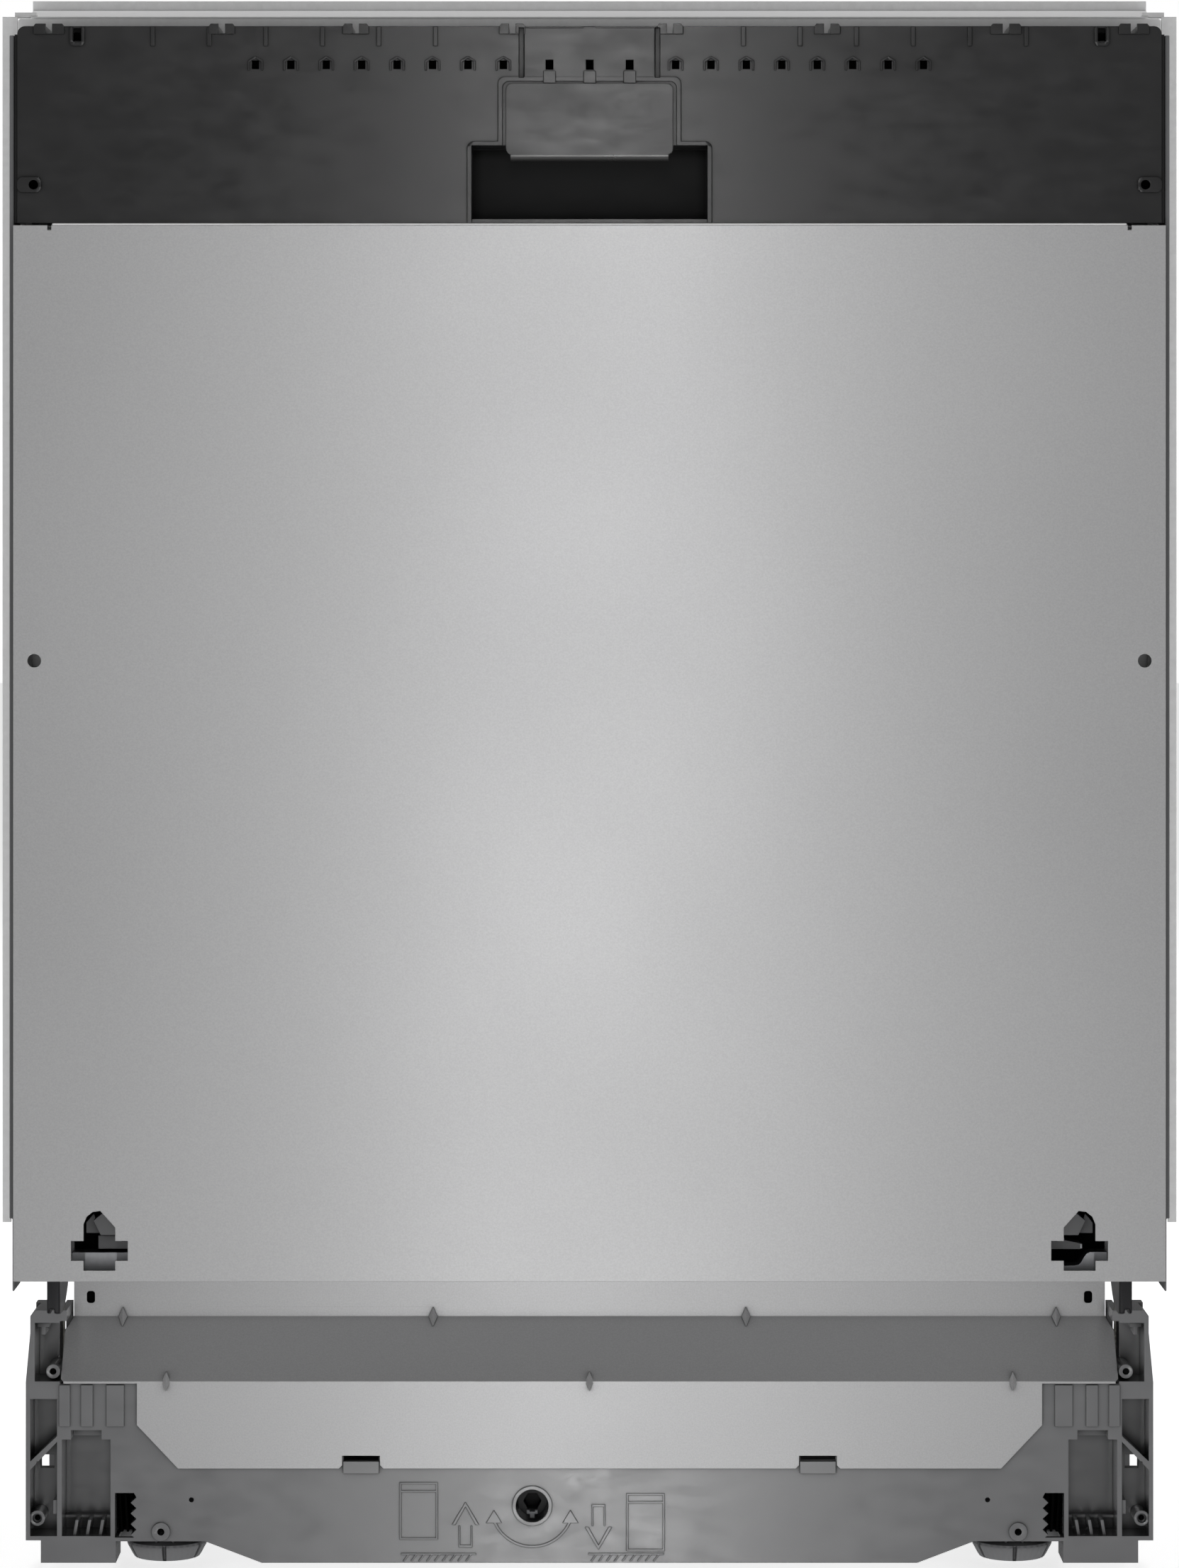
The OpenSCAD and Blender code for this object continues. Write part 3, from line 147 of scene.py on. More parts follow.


class Maker:
    """One node material: a Principled shader with procedural colour, roughness and bump, and shade
    painted into its hollows.
    """

    def __init__(self, name, rough, metal=0.0, shade_reach=PAINTED_SHADE_REACH):
        self.mat = bpy.data.materials.new(name)
        self.mat.use_nodes = True
        self.nodes, self.links = self.mat.node_tree.nodes, self.mat.node_tree.links
        self.bsdf = self.nodes["Principled BSDF"]
        self.bsdf.inputs["Metallic"].default_value = metal
        self.bsdf.inputs["Roughness"].default_value = rough
        self.coords = self.nodes.new("ShaderNodeTexCoord").outputs["Object"]
        rounding = self.nodes.new("ShaderNodeBevel")
        rounding.samples = 4
        rounding.inputs["Radius"].default_value = EDGE_ROUNDING
        self.normal = rounding.outputs["Normal"]
        self.links.new(self.normal, self.bsdf.inputs["Normal"])
        # painted shade: ambient occlusion darkens colour and gloss in hollows, creases and between parts
        hollow = self.nodes.new("ShaderNodeAmbientOcclusion")
        hollow.samples = 5
        hollow.inputs["Distance"].default_value = shade_reach
        self.painted_hollow_shade = self.spread(hollow.outputs["AO"], 0.22, 1.0, 0.35, 0.92)

    def stretched(self, scale):
        node = self.nodes.new("ShaderNodeMapping")
        node.inputs["Scale"].default_value = scale
        self.links.new(self.coords, node.inputs["Vector"])
        return node.outputs["Vector"]

    def noise(self, scale, detail=3.0, rough=0.55, stretch=None):
        node = self.nodes.new("ShaderNodeTexNoise")
        node.inputs["Scale"].default_value = scale
        node.inputs["Detail"].default_value = detail
        node.inputs["Roughness"].default_value = rough
        self.links.new(self.stretched(stretch) if stretch else self.coords, node.inputs["Vector"])
        return node.outputs["Fac"]

    def cells(self, scale, stretch=None):
        node = self.nodes.new("ShaderNodeTexVoronoi")
        node.inputs["Scale"].default_value = scale
        self.links.new(self.stretched(stretch) if stretch else self.coords, node.inputs["Vector"])
        return node.outputs["Distance"]

    def spread(self, value, low, high, in_low=0.3, in_high=0.7):
        node = self.nodes.new("ShaderNodeMapRange")
        limits = {"From Min": in_low, "From Max": in_high, "To Min": low, "To Max": high}
        for key, number in limits.items():
            node.inputs[key].default_value = number
        self.links.new(value, node.inputs["Value"])
        return node.outputs["Result"]

    def ramp(self, value, stops):
        node = self.nodes.new("ShaderNodeValToRGB")
        while len(node.color_ramp.elements) < len(stops):
            node.color_ramp.elements.new(0.5)
        for element, (position, colour) in zip(node.color_ramp.elements, stops):
            element.position = position
            element.color = (*colour, 1)
        self.links.new(value, node.inputs["Fac"])
        return node.outputs["Color"]

    def colour(self, value, low, high):
        # the colour and the gloss are both multiplied by the painted hollow shade
        shaded = self.nodes.new("ShaderNodeVectorMath")
        shaded.operation = "SCALE"
        self.links.new(self.ramp(value, [(0.3, low), (0.7, high)]), shaded.inputs[0])
        self.links.new(self.painted_hollow_shade, shaded.inputs["Scale"])
        self.links.new(shaded.outputs["Vector"], self.bsdf.inputs["Base Color"])
        gloss = self.nodes.new("ShaderNodeMath")
        gloss.operation = "MULTIPLY"
        gloss.inputs[1].default_value = self.bsdf.inputs["Specular IOR Level"].default_value
        self.links.new(self.painted_hollow_shade, gloss.inputs[0])
        self.links.new(gloss.outputs["Value"], self.bsdf.inputs["Specular IOR Level"])
        return self

    def roughness(self, value, low, high):
        self.links.new(self.spread(value, low, high), self.bsdf.inputs["Roughness"])
        return self

    def bump(self, value, strength, distance):
        node = self.nodes.new("ShaderNodeBump")
        node.inputs["Strength"].default_value = strength
        node.inputs["Distance"].default_value = distance
        self.links.new(value, node.inputs["Height"])
        self.links.new(self.normal, node.inputs["Normal"])
        self.normal = node.outputs["Normal"]
        self.links.new(self.normal, self.bsdf.inputs["Normal"])
        return self

    def set(self, **inputs):
        for key, number in inputs.items():
            self.bsdf.inputs[key.replace("_", " ")].default_value = number
        return self


def shade(c, k):
    return tuple(min(1.0, v * k) for v in c)


def plastic(name, colour, rough, grain=1400, depth=0.00004, mottling=0.08, gloss=(1.5, 0.5)):
    """Moulded plastic: spark-eroded grain, faint flow marks and a slight drift of colour."""
    m = Maker(name, rough)
    m.set(IOR=gloss[0], Specular_IOR_Level=gloss[1])
    m.colour(m.noise(9, 4), shade(colour, 1 - mottling), shade(colour, 1 + mottling))
    m.roughness(m.noise(60, 5, stretch=(1, 1, 2.2)), rough - 0.03, rough + 0.04)
    m.bump(m.noise(grain, 2), 0.3, depth)
    m.bump(m.noise(38, 2, stretch=(1, 1, 0.4)), 0.06, depth)
    return m


def rolled_steel(name, colour, rough, metal=1.0, grain=2600, stretch=(1, 1, 1), depth=0.00003,
                 drift=0.02, shade_reach=PAINTED_SHADE_REACH):
    """Cold-rolled sheet: fine sparkle along the rolling direction and a soft drift of gloss."""
    m = Maker(name, rough, metal, shade_reach)
    m.colour(m.noise(grain * 0.5, 2, stretch=stretch), shade(colour, 0.95), shade(colour, 1.05))
    m.roughness(m.noise(3.5, 2), rough - drift, rough + drift)
    m.bump(m.noise(grain, 3, stretch=stretch), 0.22, depth)
    return m


def make_materials():
    made = {}
    made["sheet_steel"] = rolled_steel("satin_sheet", (0.60, 0.60, 0.605), 0.25, metal=0.45)
    made["tub_steel"] = rolled_steel("stainless_tub", (0.66, 0.665, 0.67), 0.24, metal=0.6, grain=900,
                                     stretch=(1, 1, 18), depth=0.00001, drift=0.015)
    made["cover_steel"] = rolled_steel("zinc_cover", (0.97, 0.97, 0.97), 0.45, metal=0.0, grain=500,
                                       drift=0.03, shade_reach=0.0008)
    zinc = rolled_steel("zinc_plated", (0.62, 0.63, 0.65), 0.34, grain=700, drift=0.04)
    zinc.bump(zinc.cells(160), 0.05, 0.00003)
    made["zinc_steel"] = zinc
    made["spring_steel"] = rolled_steel("spring_wire", (0.42, 0.42, 0.44), 0.30, grain=1500)
    made["base_plastic"] = plastic("base_moulding", (0.175, 0.176, 0.181), 0.19, grain=1100,
                                   gloss=(1.75, 0.9))
    made["fascia_plastic"] = plastic("fascia_moulding", (0.027, 0.027, 0.0275), 0.18, grain=1900,
                                     depth=0.00003, mottling=0.06, gloss=(1.5, 0.65))
    made["strip_plastic"] = plastic("strip_moulding", (0.19, 0.192, 0.197), 0.40, grain=1500)
    made["black_plastic"] = plastic("black_moulding", (0.014, 0.014, 0.016), 0.36, grain=1500)
    made["grey_plastic"] = plastic("grey_moulding", (0.27, 0.275, 0.285), 0.42, grain=1500)
    made["white_plastic"] = plastic("white_moulding", (0.74, 0.73, 0.70), 0.38, grain=1500,
                                    mottling=0.04)
    made["button_plastic"] = plastic("key_moulding", (0.20, 0.20, 0.21), 0.24, grain=2200, depth=0.00002)
    made["blue_plastic"] = plastic("cap_moulding", (0.06, 0.13, 0.33), 0.26, grain=1800, depth=0.00003)
    made["coated_wire"] = plastic("wire_coating", (0.42, 0.425, 0.44), 0.30, grain=800, depth=0.00004,
                                  mottling=0.05)
    made["rubber_seal"] = plastic("seal_rubber", (0.022, 0.022, 0.024), 0.62, grain=900, depth=0.00010)
    made["rubber_seal"].set(Sheen_Weight=0.15)
    felt = Maker("pressed_felt", 0.95)
    felt.colour(felt.noise(420, 6, 0.75), (0.028, 0.029, 0.032), (0.10, 0.104, 0.112))
    felt.bump(felt.noise(900, 6, 0.8), 0.9, 0.0006)
    felt.bump(felt.noise(90, 3), 0.5, 0.0009)
    made["insulation_felt"] = felt.set(Sheen_Weight=0.35, Sheen_Roughness=0.6)
    cord = Maker("braided_cord", 0.75)
    cord.colour(cord.cells(900, (1, 1, 0.6)), (0.45, 0.44, 0.40), (0.80, 0.78, 0.72))
    cord.bump(cord.cells(1500, (1, 1, 0.6)), 0.8, 0.0003)
    made["cord_fibre"] = cord
    board = Maker("laminate", 0.35)
    board.colour(board.cells(170), (0.012, 0.10, 0.035), (0.02, 0.17, 0.06))
    board.roughness(board.noise(300, 3), 0.25, 0.5)
    board.bump(board.cells(300), 0.3, 0.0001)
    made["circuit_board"] = board
    # near-black, matte stand-in for the shade inside openings: painted shade
    made["shade_stand_in"] = plastic("painted_shade_black", (0.004, 0.004, 0.004), 0.9, gloss=(1.3, 0.1))
    # painted shade: the hand scoop is a darker, duller copy of the fascia plastic so the recess reads
    # dark
    made["scoop"] = plastic("scoop_painted_shade", (0.018, 0.018, 0.0185), 0.55, grain=900, gloss=(1.45, 0.35))
    made["lip"] = plastic("finger_lip", (0.03, 0.03, 0.03), 0.30, grain=2400, gloss=(2.3, 1.0))
    return {slot: maker.mat for slot, maker in made.items()}


# ---------------------------------------------------------------- mesh helpers
def link(obj, slot, body, look=None):
    bpy.context.scene.collection.objects.link(obj)
    if not obj.data.materials:
        obj.data.materials.append(MATERIALS[look or slot])
    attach(obj, body)
    return obj


def mesh_piece(name, bm, slot, body, smooth_deg=35, look=None):
    bmesh.ops.recalc_face_normals(bm, faces=bm.faces)
    mesh = bpy.data.meshes.new(name)
    bm.to_mesh(mesh)
    bm.free()
    mesh.shade_smooth()
    mesh.set_sharp_from_angle(angle=math.radians(smooth_deg))
    return link(bpy.data.objects.new(name, mesh), slot, body, look)


def add_modifier(obj, kind, **values):
    mod = obj.modifiers.new(kind.lower(), kind)
    for key, value in values.items():
        setattr(mod, key, value)


def fillet(points, radius, steps=6, closed=False):
    """The polyline with each corner replaced by an arc of that radius."""
    pts = [Vector(p) for p in points]
    count = len(pts)
    out = []
    for i, p in enumerate(pts):
        if not closed and i in (0, count - 1):
            out.append(p)
            continue
        a, b = pts[i - 1], pts[(i + 1) % count]
        u, v = (a - p), (b - p)
        reach = min(radius, u.length * 0.49, v.length * 0.49)
        start, end = p + u.normalized() * reach, p + v.normalized() * reach
        for k in range(steps + 1):
            t = k / steps
            out.append(start * (1 - t) ** 2 + p * 2 * t * (1 - t) + end * t ** 2)
    return out


def wires(name, lines, radius, slot, body):
    """One curve object of round wires. Each line is (points, closed)."""
    data = bpy.data.curves.new(name, "CURVE")
    data.dimensions = "3D"
    data.bevel_depth = radius
    data.bevel_resolution = 3
    data.use_fill_caps = True
    for points, closed in lines:
        spline = data.splines.new("POLY")
        spline.points.add(len(points) - 1)
        for point, co in zip(spline.points, points):
            point.co = (*co, 1)
        spline.use_cyclic_u = closed
    return link(bpy.data.objects.new(name, data), slot, body)


def lathe(bm, outline, matrix, segments=48, wobble=None):
    """Turns (radius, height) points in mm round the matrix's Z axis.

    wobble(angle, i) scales the radius of point i at that angle.
    """
    rings = []
    for i, (r, h) in enumerate(outline):
        ring = []
        for k in range(segments):
            a = 2 * math.pi * k / segments
            rr = r * MM * (wobble(a, i) if wobble else 1)
            ring.append(bm.verts.new(matrix @ Vector((rr * math.cos(a), rr * math.sin(a), h * MM))))
        rings.append(ring)
    for lower, upper in zip(rings, rings[1:]):
        for k in range(segments):
            bm.faces.new((lower[k], lower[(k + 1) % segments], upper[(k + 1) % segments], upper[k]))
    bm.faces.new(rings[0][::-1])
    bm.faces.new(rings[-1])


def loft(bm, sections):
    """Joins rings of points, each a list of Vectors of the same length, and closes both ends."""
    rings = [[bm.verts.new(p) for p in s] for s in sections]
    n = len(rings[0])
    for a, b in zip(rings, rings[1:]):
        for k in range(n):
            bm.faces.new((a[k], a[(k + 1) % n], b[(k + 1) % n], b[k]))
    bm.faces.new(rings[0][::-1])
    bm.faces.new(rings[-1])


def rounded_bar(bm, low, high, bevel):
    """A box between two corners, its edges rounded by bevel mm."""
    low, high = Vector(low), Vector(high)
    size = high - low
    verts = bmesh.ops.create_cube(bm, size=1)["verts"]
    for v in verts:
        v.co = low + Vector(((v.co.x + 0.5) * size.x, (v.co.y + 0.5) * size.y, (v.co.z + 0.5) * size.z))
    edges = list({e for v in verts for e in v.link_edges})
    bmesh.ops.bevel(bm, geom=edges, offset=bevel * MM, segments=3, profile=0.5, affect="EDGES",
                    clamp_overlap=True)


def facing(at, direction):
    """A matrix at a point whose Z axis points along a direction."""
    turn = Vector(direction).to_track_quat("Z", "Y").to_matrix().to_4x4()
    return Matrix.Translation(Vector(at)) @ turn


def place(*xyz):
    """A point given in millimetres."""
    return Vector(xyz) * MM


# ---------------------------------------------------------------- CAD nodes that stay
BEVELS = {
    "fascia": 0.35, "grip_cover": 0.45, "base_front": 0.5, "base_pan": 0.5, "kick_sheet": 0.22,
    "door_side_strips": 0.4, "side_trims": 0.25, "top_cover": 0.22, "tub_frame": 0.3,
    "door_liner": 0.25, "hinge_cams": 0.6, "hinge_brackets": 0.3, "dispenser": 0.6, "dispenser_lid": 0.5,
    "rinse_aid_cap": 0.8, "salt_cap": 0.8, "water_softener": 2.0, "wash_pump": 1.0, "drain_pump": 1.0,
    "sump": 1.2, "inlet_valve": 0.9, "power_socket": 0.8, "door_latch": 0.6, "cutlery_basket": 0.5,
    "front_wheels": 0.8, "rear_wheels": 0.8, "pulleys": 0.4, "spring_sliders": 0.8, "fixed_rails": 0.3,
    "rail_slides": 0.3, "latch_striker": 0.6, "spray_feed": 1.5, "filter_cylinder": 0.5,
    "button_power": 0.5, "button_program": 0.5, "button_start": 0.5, "adjuster_shaft": 0.5,
    "control_board": 0.3, "tub_floor": 0.8, "tub_back": 0.3, "filter_plate": 0.2,
}


def finish_cad_nodes():
    slots = {s["node"]: s["material_slot"] for s in frame["record"]["subparts"]}
    for name, obj in frame["nodes"].items():
        obj.data.materials.clear()
        obj.data.materials.append(MATERIALS[slots[name]])
        if name not in BEVELS:
            continue
        add_modifier(obj, "WELD", merge_threshold=0.00002)
        add_modifier(obj, "BEVEL", width=BEVELS[name] * MM, segments=2, limit_method="ANGLE",
                     angle_limit=math.radians(38), harden_normals=False, miter_outer="MITER_ARC")
        add_modifier(obj, "WEIGHTED_NORMAL", keep_sharp=False, weight=60)


# ---------------------------------------------------------------- wire goods
UPPER_RIM_Z = 560.0
SHELF_Z = 575           # pivots of the cup shelves
SHELF_PIVOT_X = 231
HUB_Y = 10              # axis of both spray arms
AXLE_Y = (-150, 160)    # wheels of the lower rack
TINE_ROW_Y = {"tines_front": -60, "tines_rear": 80}
U_CORNER = 14


def rim(half_x, y0, y1, z, corner):
    """A closed wire with rounded corners, level at z."""
    corners = [(-half_x, y0, z), (half_x, y0, z), (half_x, y1, z), (-half_x, y1, z)]
    return fillet([place(*c) for c in corners], corner * MM, closed=True), True


def u_wire(*points):
    """A wire that goes down, across and up again, through four points."""
    return fillet([place(*p) for p in points], U_CORNER * MM), False


def basket_wires(half_x, y0, y1, floor, top, gap, wire_r):
    """Floor and wall wires of a rack: two layers of U-shaped wires that hang in the upper rim."""
    lines = []
    count = int((y1 - y0 - 40) / gap)
    for i in range(count + 1):
        y = y0 + 20 + i * (y1 - y0 - 40) / count
        lines.append(u_wire((-half_x, y, top), (-half_x, y, floor),
                            (half_x, y, floor), (half_x, y, top)))
    count = int((2 * half_x - 40) / gap)
    low = floor + 2 * wire_r
    for i in range(count + 1):
        x = -half_x + 20 + i * (2 * half_x - 40) / count
        lines.append(u_wire((x, y0, top), (x, y0, low), (x, y1, low), (x, y1, top)))
    return lines


def tine(x, y, z, height, lean=0.0):
    """One upright tine whose tip leans a little in Y."""
    steps = [0, 0.35, 0.6, 0.8, 0.93, 1.0]
    return [place(x, y + lean * s * s, z + height * s) for s in steps], False


def upper_rack():
    lo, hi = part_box("upper_rack_walls")
    half, y0, y1 = hi.x / MM - 6, lo.y / MM + 2.2, hi.y / MM - 2.2
    floor, top = lo.z / MM + 1.5, UPPER_RIM_Z
    lines = [rim(half, y0, y1, z, 32) for z in (floor + 45, floor + 4)]
    lines += basket_wires(half - 1.4, y0 + 1.4, y1 - 1.4, floor, top, 31, 1.3)
    for x in (-118, -66, 66, 118):
        lines.append(([place(x, y0 + 14, floor + 5), place(x, y1 - 14, floor + 5)], False))
        lines += [tine(x, y, floor + 5, 46, 7) for y in range(-180, 200, 24)]
    fine = wires("upper_rack_wires", lines, 1.35 * MM, "coated_wire", "upper_rack")
    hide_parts("upper_rack_walls")
    posts = [rim(half, y0, y1, top, 34)]
    for s in (-1, 1):
        for y in (-120, 120):
            post = [(s * half, y, floor + 30), (s * 236, y, SHELF_Z),
                    (s * SHELF_PIVOT_X, y - 3, SHELF_Z), (s * SHELF_PIVOT_X, y - 10, SHELF_Z)]
            posts.append((fillet([place(*p) for p in post], 5 * MM), False))
    wires("upper_rack_rim", posts, 2.2 * MM, "coated_wire", "upper_rack")
    bm = bmesh.new()
    for s in (-1, 1):
        low, high = sorted((s * 237.2, s * 243))
        rounded_bar(bm, place(low, -190, 506), place(high, 200, 508), 0.7)
        web = low if s < 0 else high - 2
        rounded_bar(bm, place(web, -190, 506), place(web + 2, 200, 514), 0.7)
    rounded_bar(bm, place(-74, y0 - 2.1, 549), place(74, y0 + 5.5, 562), 2.2)
    mesh_piece("upper_rack_brackets", bm, "grey_plastic", "upper_rack")
    feed_pipe()


def feed_pipe():
    """The flat pipe under the upper rack that feeds its spray arm, and the arm's bearing."""
    bm = bmesh.new()
    ring = [(math.cos(a), math.sin(a)) for a in [2 * math.pi * k / 20 for k in range(20)]]
    stations = [(2, 17, 4.5), (18, 13.5, 5.2), (60, 10.5, 5.4), (150, 10.5, 5.4), (205, 10.8, 5.4),
                (221, 10.8, 5.6), (228, 10.8, 5.6)]
    loft(bm, [[place(w * rounded(c, 0.7), y, 471.4 + h * rounded(s, 0.7)) for c, s in ring]
              for y, w, h in stations])
    down = facing(place(0, HUB_Y, 477.3), (0, 0, -1))
    outline = [(15, 0), (16, 1), (16, 9.5), (14.5, 12), (9, 13.2), (6, 14), (5.9, 41.2)]
    lathe(bm, outline, down)
    cap = [(8, 41), (10.6, 41.4), (11, 42.4), (11, 44), (9.5, 45.2)]
    lathe(bm, cap, down)
    pipe = mesh_piece("upper_feed_pipe", bm, "grey_plastic", "upper_rack")
    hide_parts("upper_rack_floor")


def lower_rack():
    lo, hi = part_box("lower_rack_walls")
    half, y0, y1 = 230.5, lo.y / MM + 2.2, hi.y / MM - 2.2
    floor, top = lo.z / MM + 0.2, hi.z / MM - 2.4
    lines = [rim(half, y0, y1, z, 34) for z in (floor + 50, floor + 4)]
    lines += basket_wires(half - 1.6, y0 + 1.6, y1 - 1.6, floor, top, 30, 1.5)
    for y in (100, 150):
        lines.append(([place(98, y, floor + 4.5), place(half - 4, y, floor + 4.5)], False))
        lines += [tine(x, y, floor + 4, 62, 8) for x in range(108, 220, 18)]
    fine = wires("lower_rack_wires", lines, 1.5 * MM, "coated_wire", "lower_rack")
    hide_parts("lower_rack_walls", "lower_rack_floor")
    wires("lower_rack_rim", [rim(half, y0, y1, top, 36)], 2.3 * MM, "coated_wire", "lower_rack")
    bm = bmesh.new()
    for s in (-1, 1):
        for y in AXLE_Y:
            low, high = sorted((s * 229.5, s * 236))
            rounded_bar(bm, place(low, y - 8, 210), place(high, y + 8, 252), 1.6)
            outline = [(4.6, 0), (4, 0.6), (4, 12.5), (5.2, 13), (5.2, 15.4), (4.2, 16.4)]
            lathe(bm, outline, facing(place(s * 236, y, 216), (s, 0, 0)), 28)
    for y in TINE_ROW_Y.values():
        for x in (-214, 78):
            rounded_bar(bm, place(x - 3.4, y - 5, 236), place(x + 3.4, y + 5, 247), 1.8)
    rounded_bar(bm, place(-66, y0 - 2.1, top - 9), place(66, y0 + 5, top + 2.3), 2.2)
    mesh_piece("lower_rack_fittings", bm, "grey_plastic", "lower_rack")


def tine_rows():
    for name, y in TINE_ROW_Y.items():
        lo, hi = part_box(name)
        lines = [([place(lo.x / MM + 0.3, y, 242), place(hi.x / MM - 0.3, y, 242)], False)]
        for x in range(-200, 70, 22):
            lines.append(tine(x, y, 243, 82.4))
        row = wires(name + "_wires", lines, 1.75 * MM, "coated_wire", name)
        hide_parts(name)


def cup_shelves():
    for side, s in (("left", -1), ("right", 1)):
        node, z = "cup_shelf_" + side, SHELF_Z
        outer = [place(s * x, y, z) for x, y in ((134, -126), (224, -126), (224, 106), (134, 106))]
        lines = [(fillet(outer, 14 * MM, closed=True), True)]
        for i in range(1, 8):
            y = -126 + 29 * i
            lines.append((fillet([place(s * 134, y, z), place(s * 140, y, z + 1.6),
                                  place(s * 216, y, z + 1.6), place(s * 224, y, z)], 4 * MM), False))
        for x in (160, 192):
            lines.append(([place(s * x, -126, z - 1.4), place(s * x, 106, z - 1.4)], False))
        shelf = wires(node + "_wires", lines, 1.4 * MM, "coated_wire", node)
        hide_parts(node)
        bm = bmesh.new()
        for y in (-131, 109):
            outline = [(3.1, 0.2), (5.0, 0.2), (5.4, 0.9), (5.4, 5.7), (5.0, 6.4), (3.1, 6.4)]
            lathe(bm, outline, facing(place(s * SHELF_PIVOT_X, y, z), (0, 1, 0)), 32)
            low, high = sorted((s * 219, s * 227.5))
            rounded_bar(bm, place(low, y, z - 3), place(high, y + 6.6, z + 3), 1.1)
        mesh_piece(node + "_knuckles", bm, "grey_plastic", node)


# ---------------------------------------------------------------- spray arms, springs, feet
SPRING_X, SPRING_Z = 272.6, 47.2


def rounded(value, power):
    """A signed power, which turns a circle into a rounded box."""
    return math.copysign(abs(value) ** power, value)


def spray_arm(node, z0, length):
    """A lofted arm with a round hub, ridged wings and a row of open nozzles."""
    bm = bmesh.new()
    ring = [2 * math.pi * k / 28 for k in range(28)]
    sections = []
    count = 44
    for i in range(count + 1):
        t = -1 + 2 * i / count
        end = max(0.0, abs(t) - 0.93) / 0.07
        cap = math.sqrt(max(0.0, 1 - 0.92 * end * end))
        width = (12.5 + 16.5 * (1 - abs(t)) ** 0.8) * cap
        thick = (3.6 + 1.8 * (1 - abs(t))) * (0.35 + 0.65 * cap)
        centre = -3.2 * abs(t) + 2.0 * math.sin(2.2 * t)
        sections.append([place(t * length,
                               HUB_Y + centre + width * rounded(math.cos(a), 0.75),
                               z0 + 5.4 + thick * rounded(math.sin(a), 0.85)) for a in ring])
    loft(bm, sections)
    up = facing(place(0, HUB_Y, z0), (0, 0, 1))
    outline = [(24, 0.1), (29, 1.2), (30, 3), (30, 7.5), (28.5, 9.6), (23, 10.8), (18.6, 11.4),
               (17.6, 12.9), (9, 13), (8.4, 11)]
    lathe(bm, outline, up, 56)
    for s in (-1, 1):
        for i in range(7):
            x = s * (50 + 22 * i)
            boss = [(4.2, 8.2), (4.0, 10.4), (3.3, 11.3), (2.1, 11.5), (1.7, 10.8), (1.4, 8.4)]
            lathe(bm, boss,
                  facing(place(x, HUB_Y + (4 - i) * 0.9, z0 - 0.35 * i), (0.12 * s, 0.1, 1)), 20)
    arm = mesh_piece(node + "_shell", bm, "grey_plastic", node, 50)
    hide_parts(node)


def tube(bm, points, radius, sides):
    """A closed round tube along a line of points, with its frame carried from point to point."""
    ahead = (points[1] - points[0]).normalized()
    across = ahead.orthogonal().normalized()
    rings = []
    for i, p in enumerate(points):
        nxt = points[min(i + 1, len(points) - 1)]
        prv = points[max(i - 1, 0)]
        ahead = (nxt - prv).normalized()
        across = (across - ahead * across.dot(ahead)).normalized()
        up = ahead.cross(across)
        rings.append([p + (across * math.cos(a) + up * math.sin(a)) * radius
                      for a in [2 * math.pi * k / sides for k in range(sides)]])
    loft(bm, rings)


def door_springs():
    """Two coil springs that stretch between the cabinet and the sliders."""
    lo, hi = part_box("door_springs")
    bm = bmesh.new()
    turns, per_turn, wire_r, coil_r = 62, 14, 0.95, 4.9
    for s in (-1, 1):
        x, z = s * SPRING_X, SPRING_Z
        start, end = lo.y / MM + 9, hi.y / MM - 9
        pts = [place(x, lo.y / MM + 1.2, z), place(x, lo.y / MM + 5, z), place(x, start - 1.2, z + 1.8)]
        for i in range(turns * per_turn + 1):
            a = 2 * math.pi * i / per_turn
            y = start + (end - start) * i / (turns * per_turn)
            pts.append(place(x + coil_r * math.sin(a), y, z + coil_r * math.cos(a)))
        pts += [place(x, end + 1.2, z + 1.8), place(x, hi.y / MM - 5, z),
                place(x, hi.y / MM - 1.2, z)]
        tube(bm, pts, wire_r * MM, 7)
    bmesh.ops.recalc_face_normals(bm, faces=bm.faces)
    mesh = bpy.data.meshes.new("door_spring_coils")
    bm.to_mesh(mesh)
    bm.free()
    mesh.shade_smooth()
    mesh.materials.append(MATERIALS["spring_steel"])
    coils = bpy.data.objects.new("door_spring_coils", mesh)
    bpy.context.scene.collection.objects.link(coils)
    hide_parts("door_springs")
    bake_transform(coils)


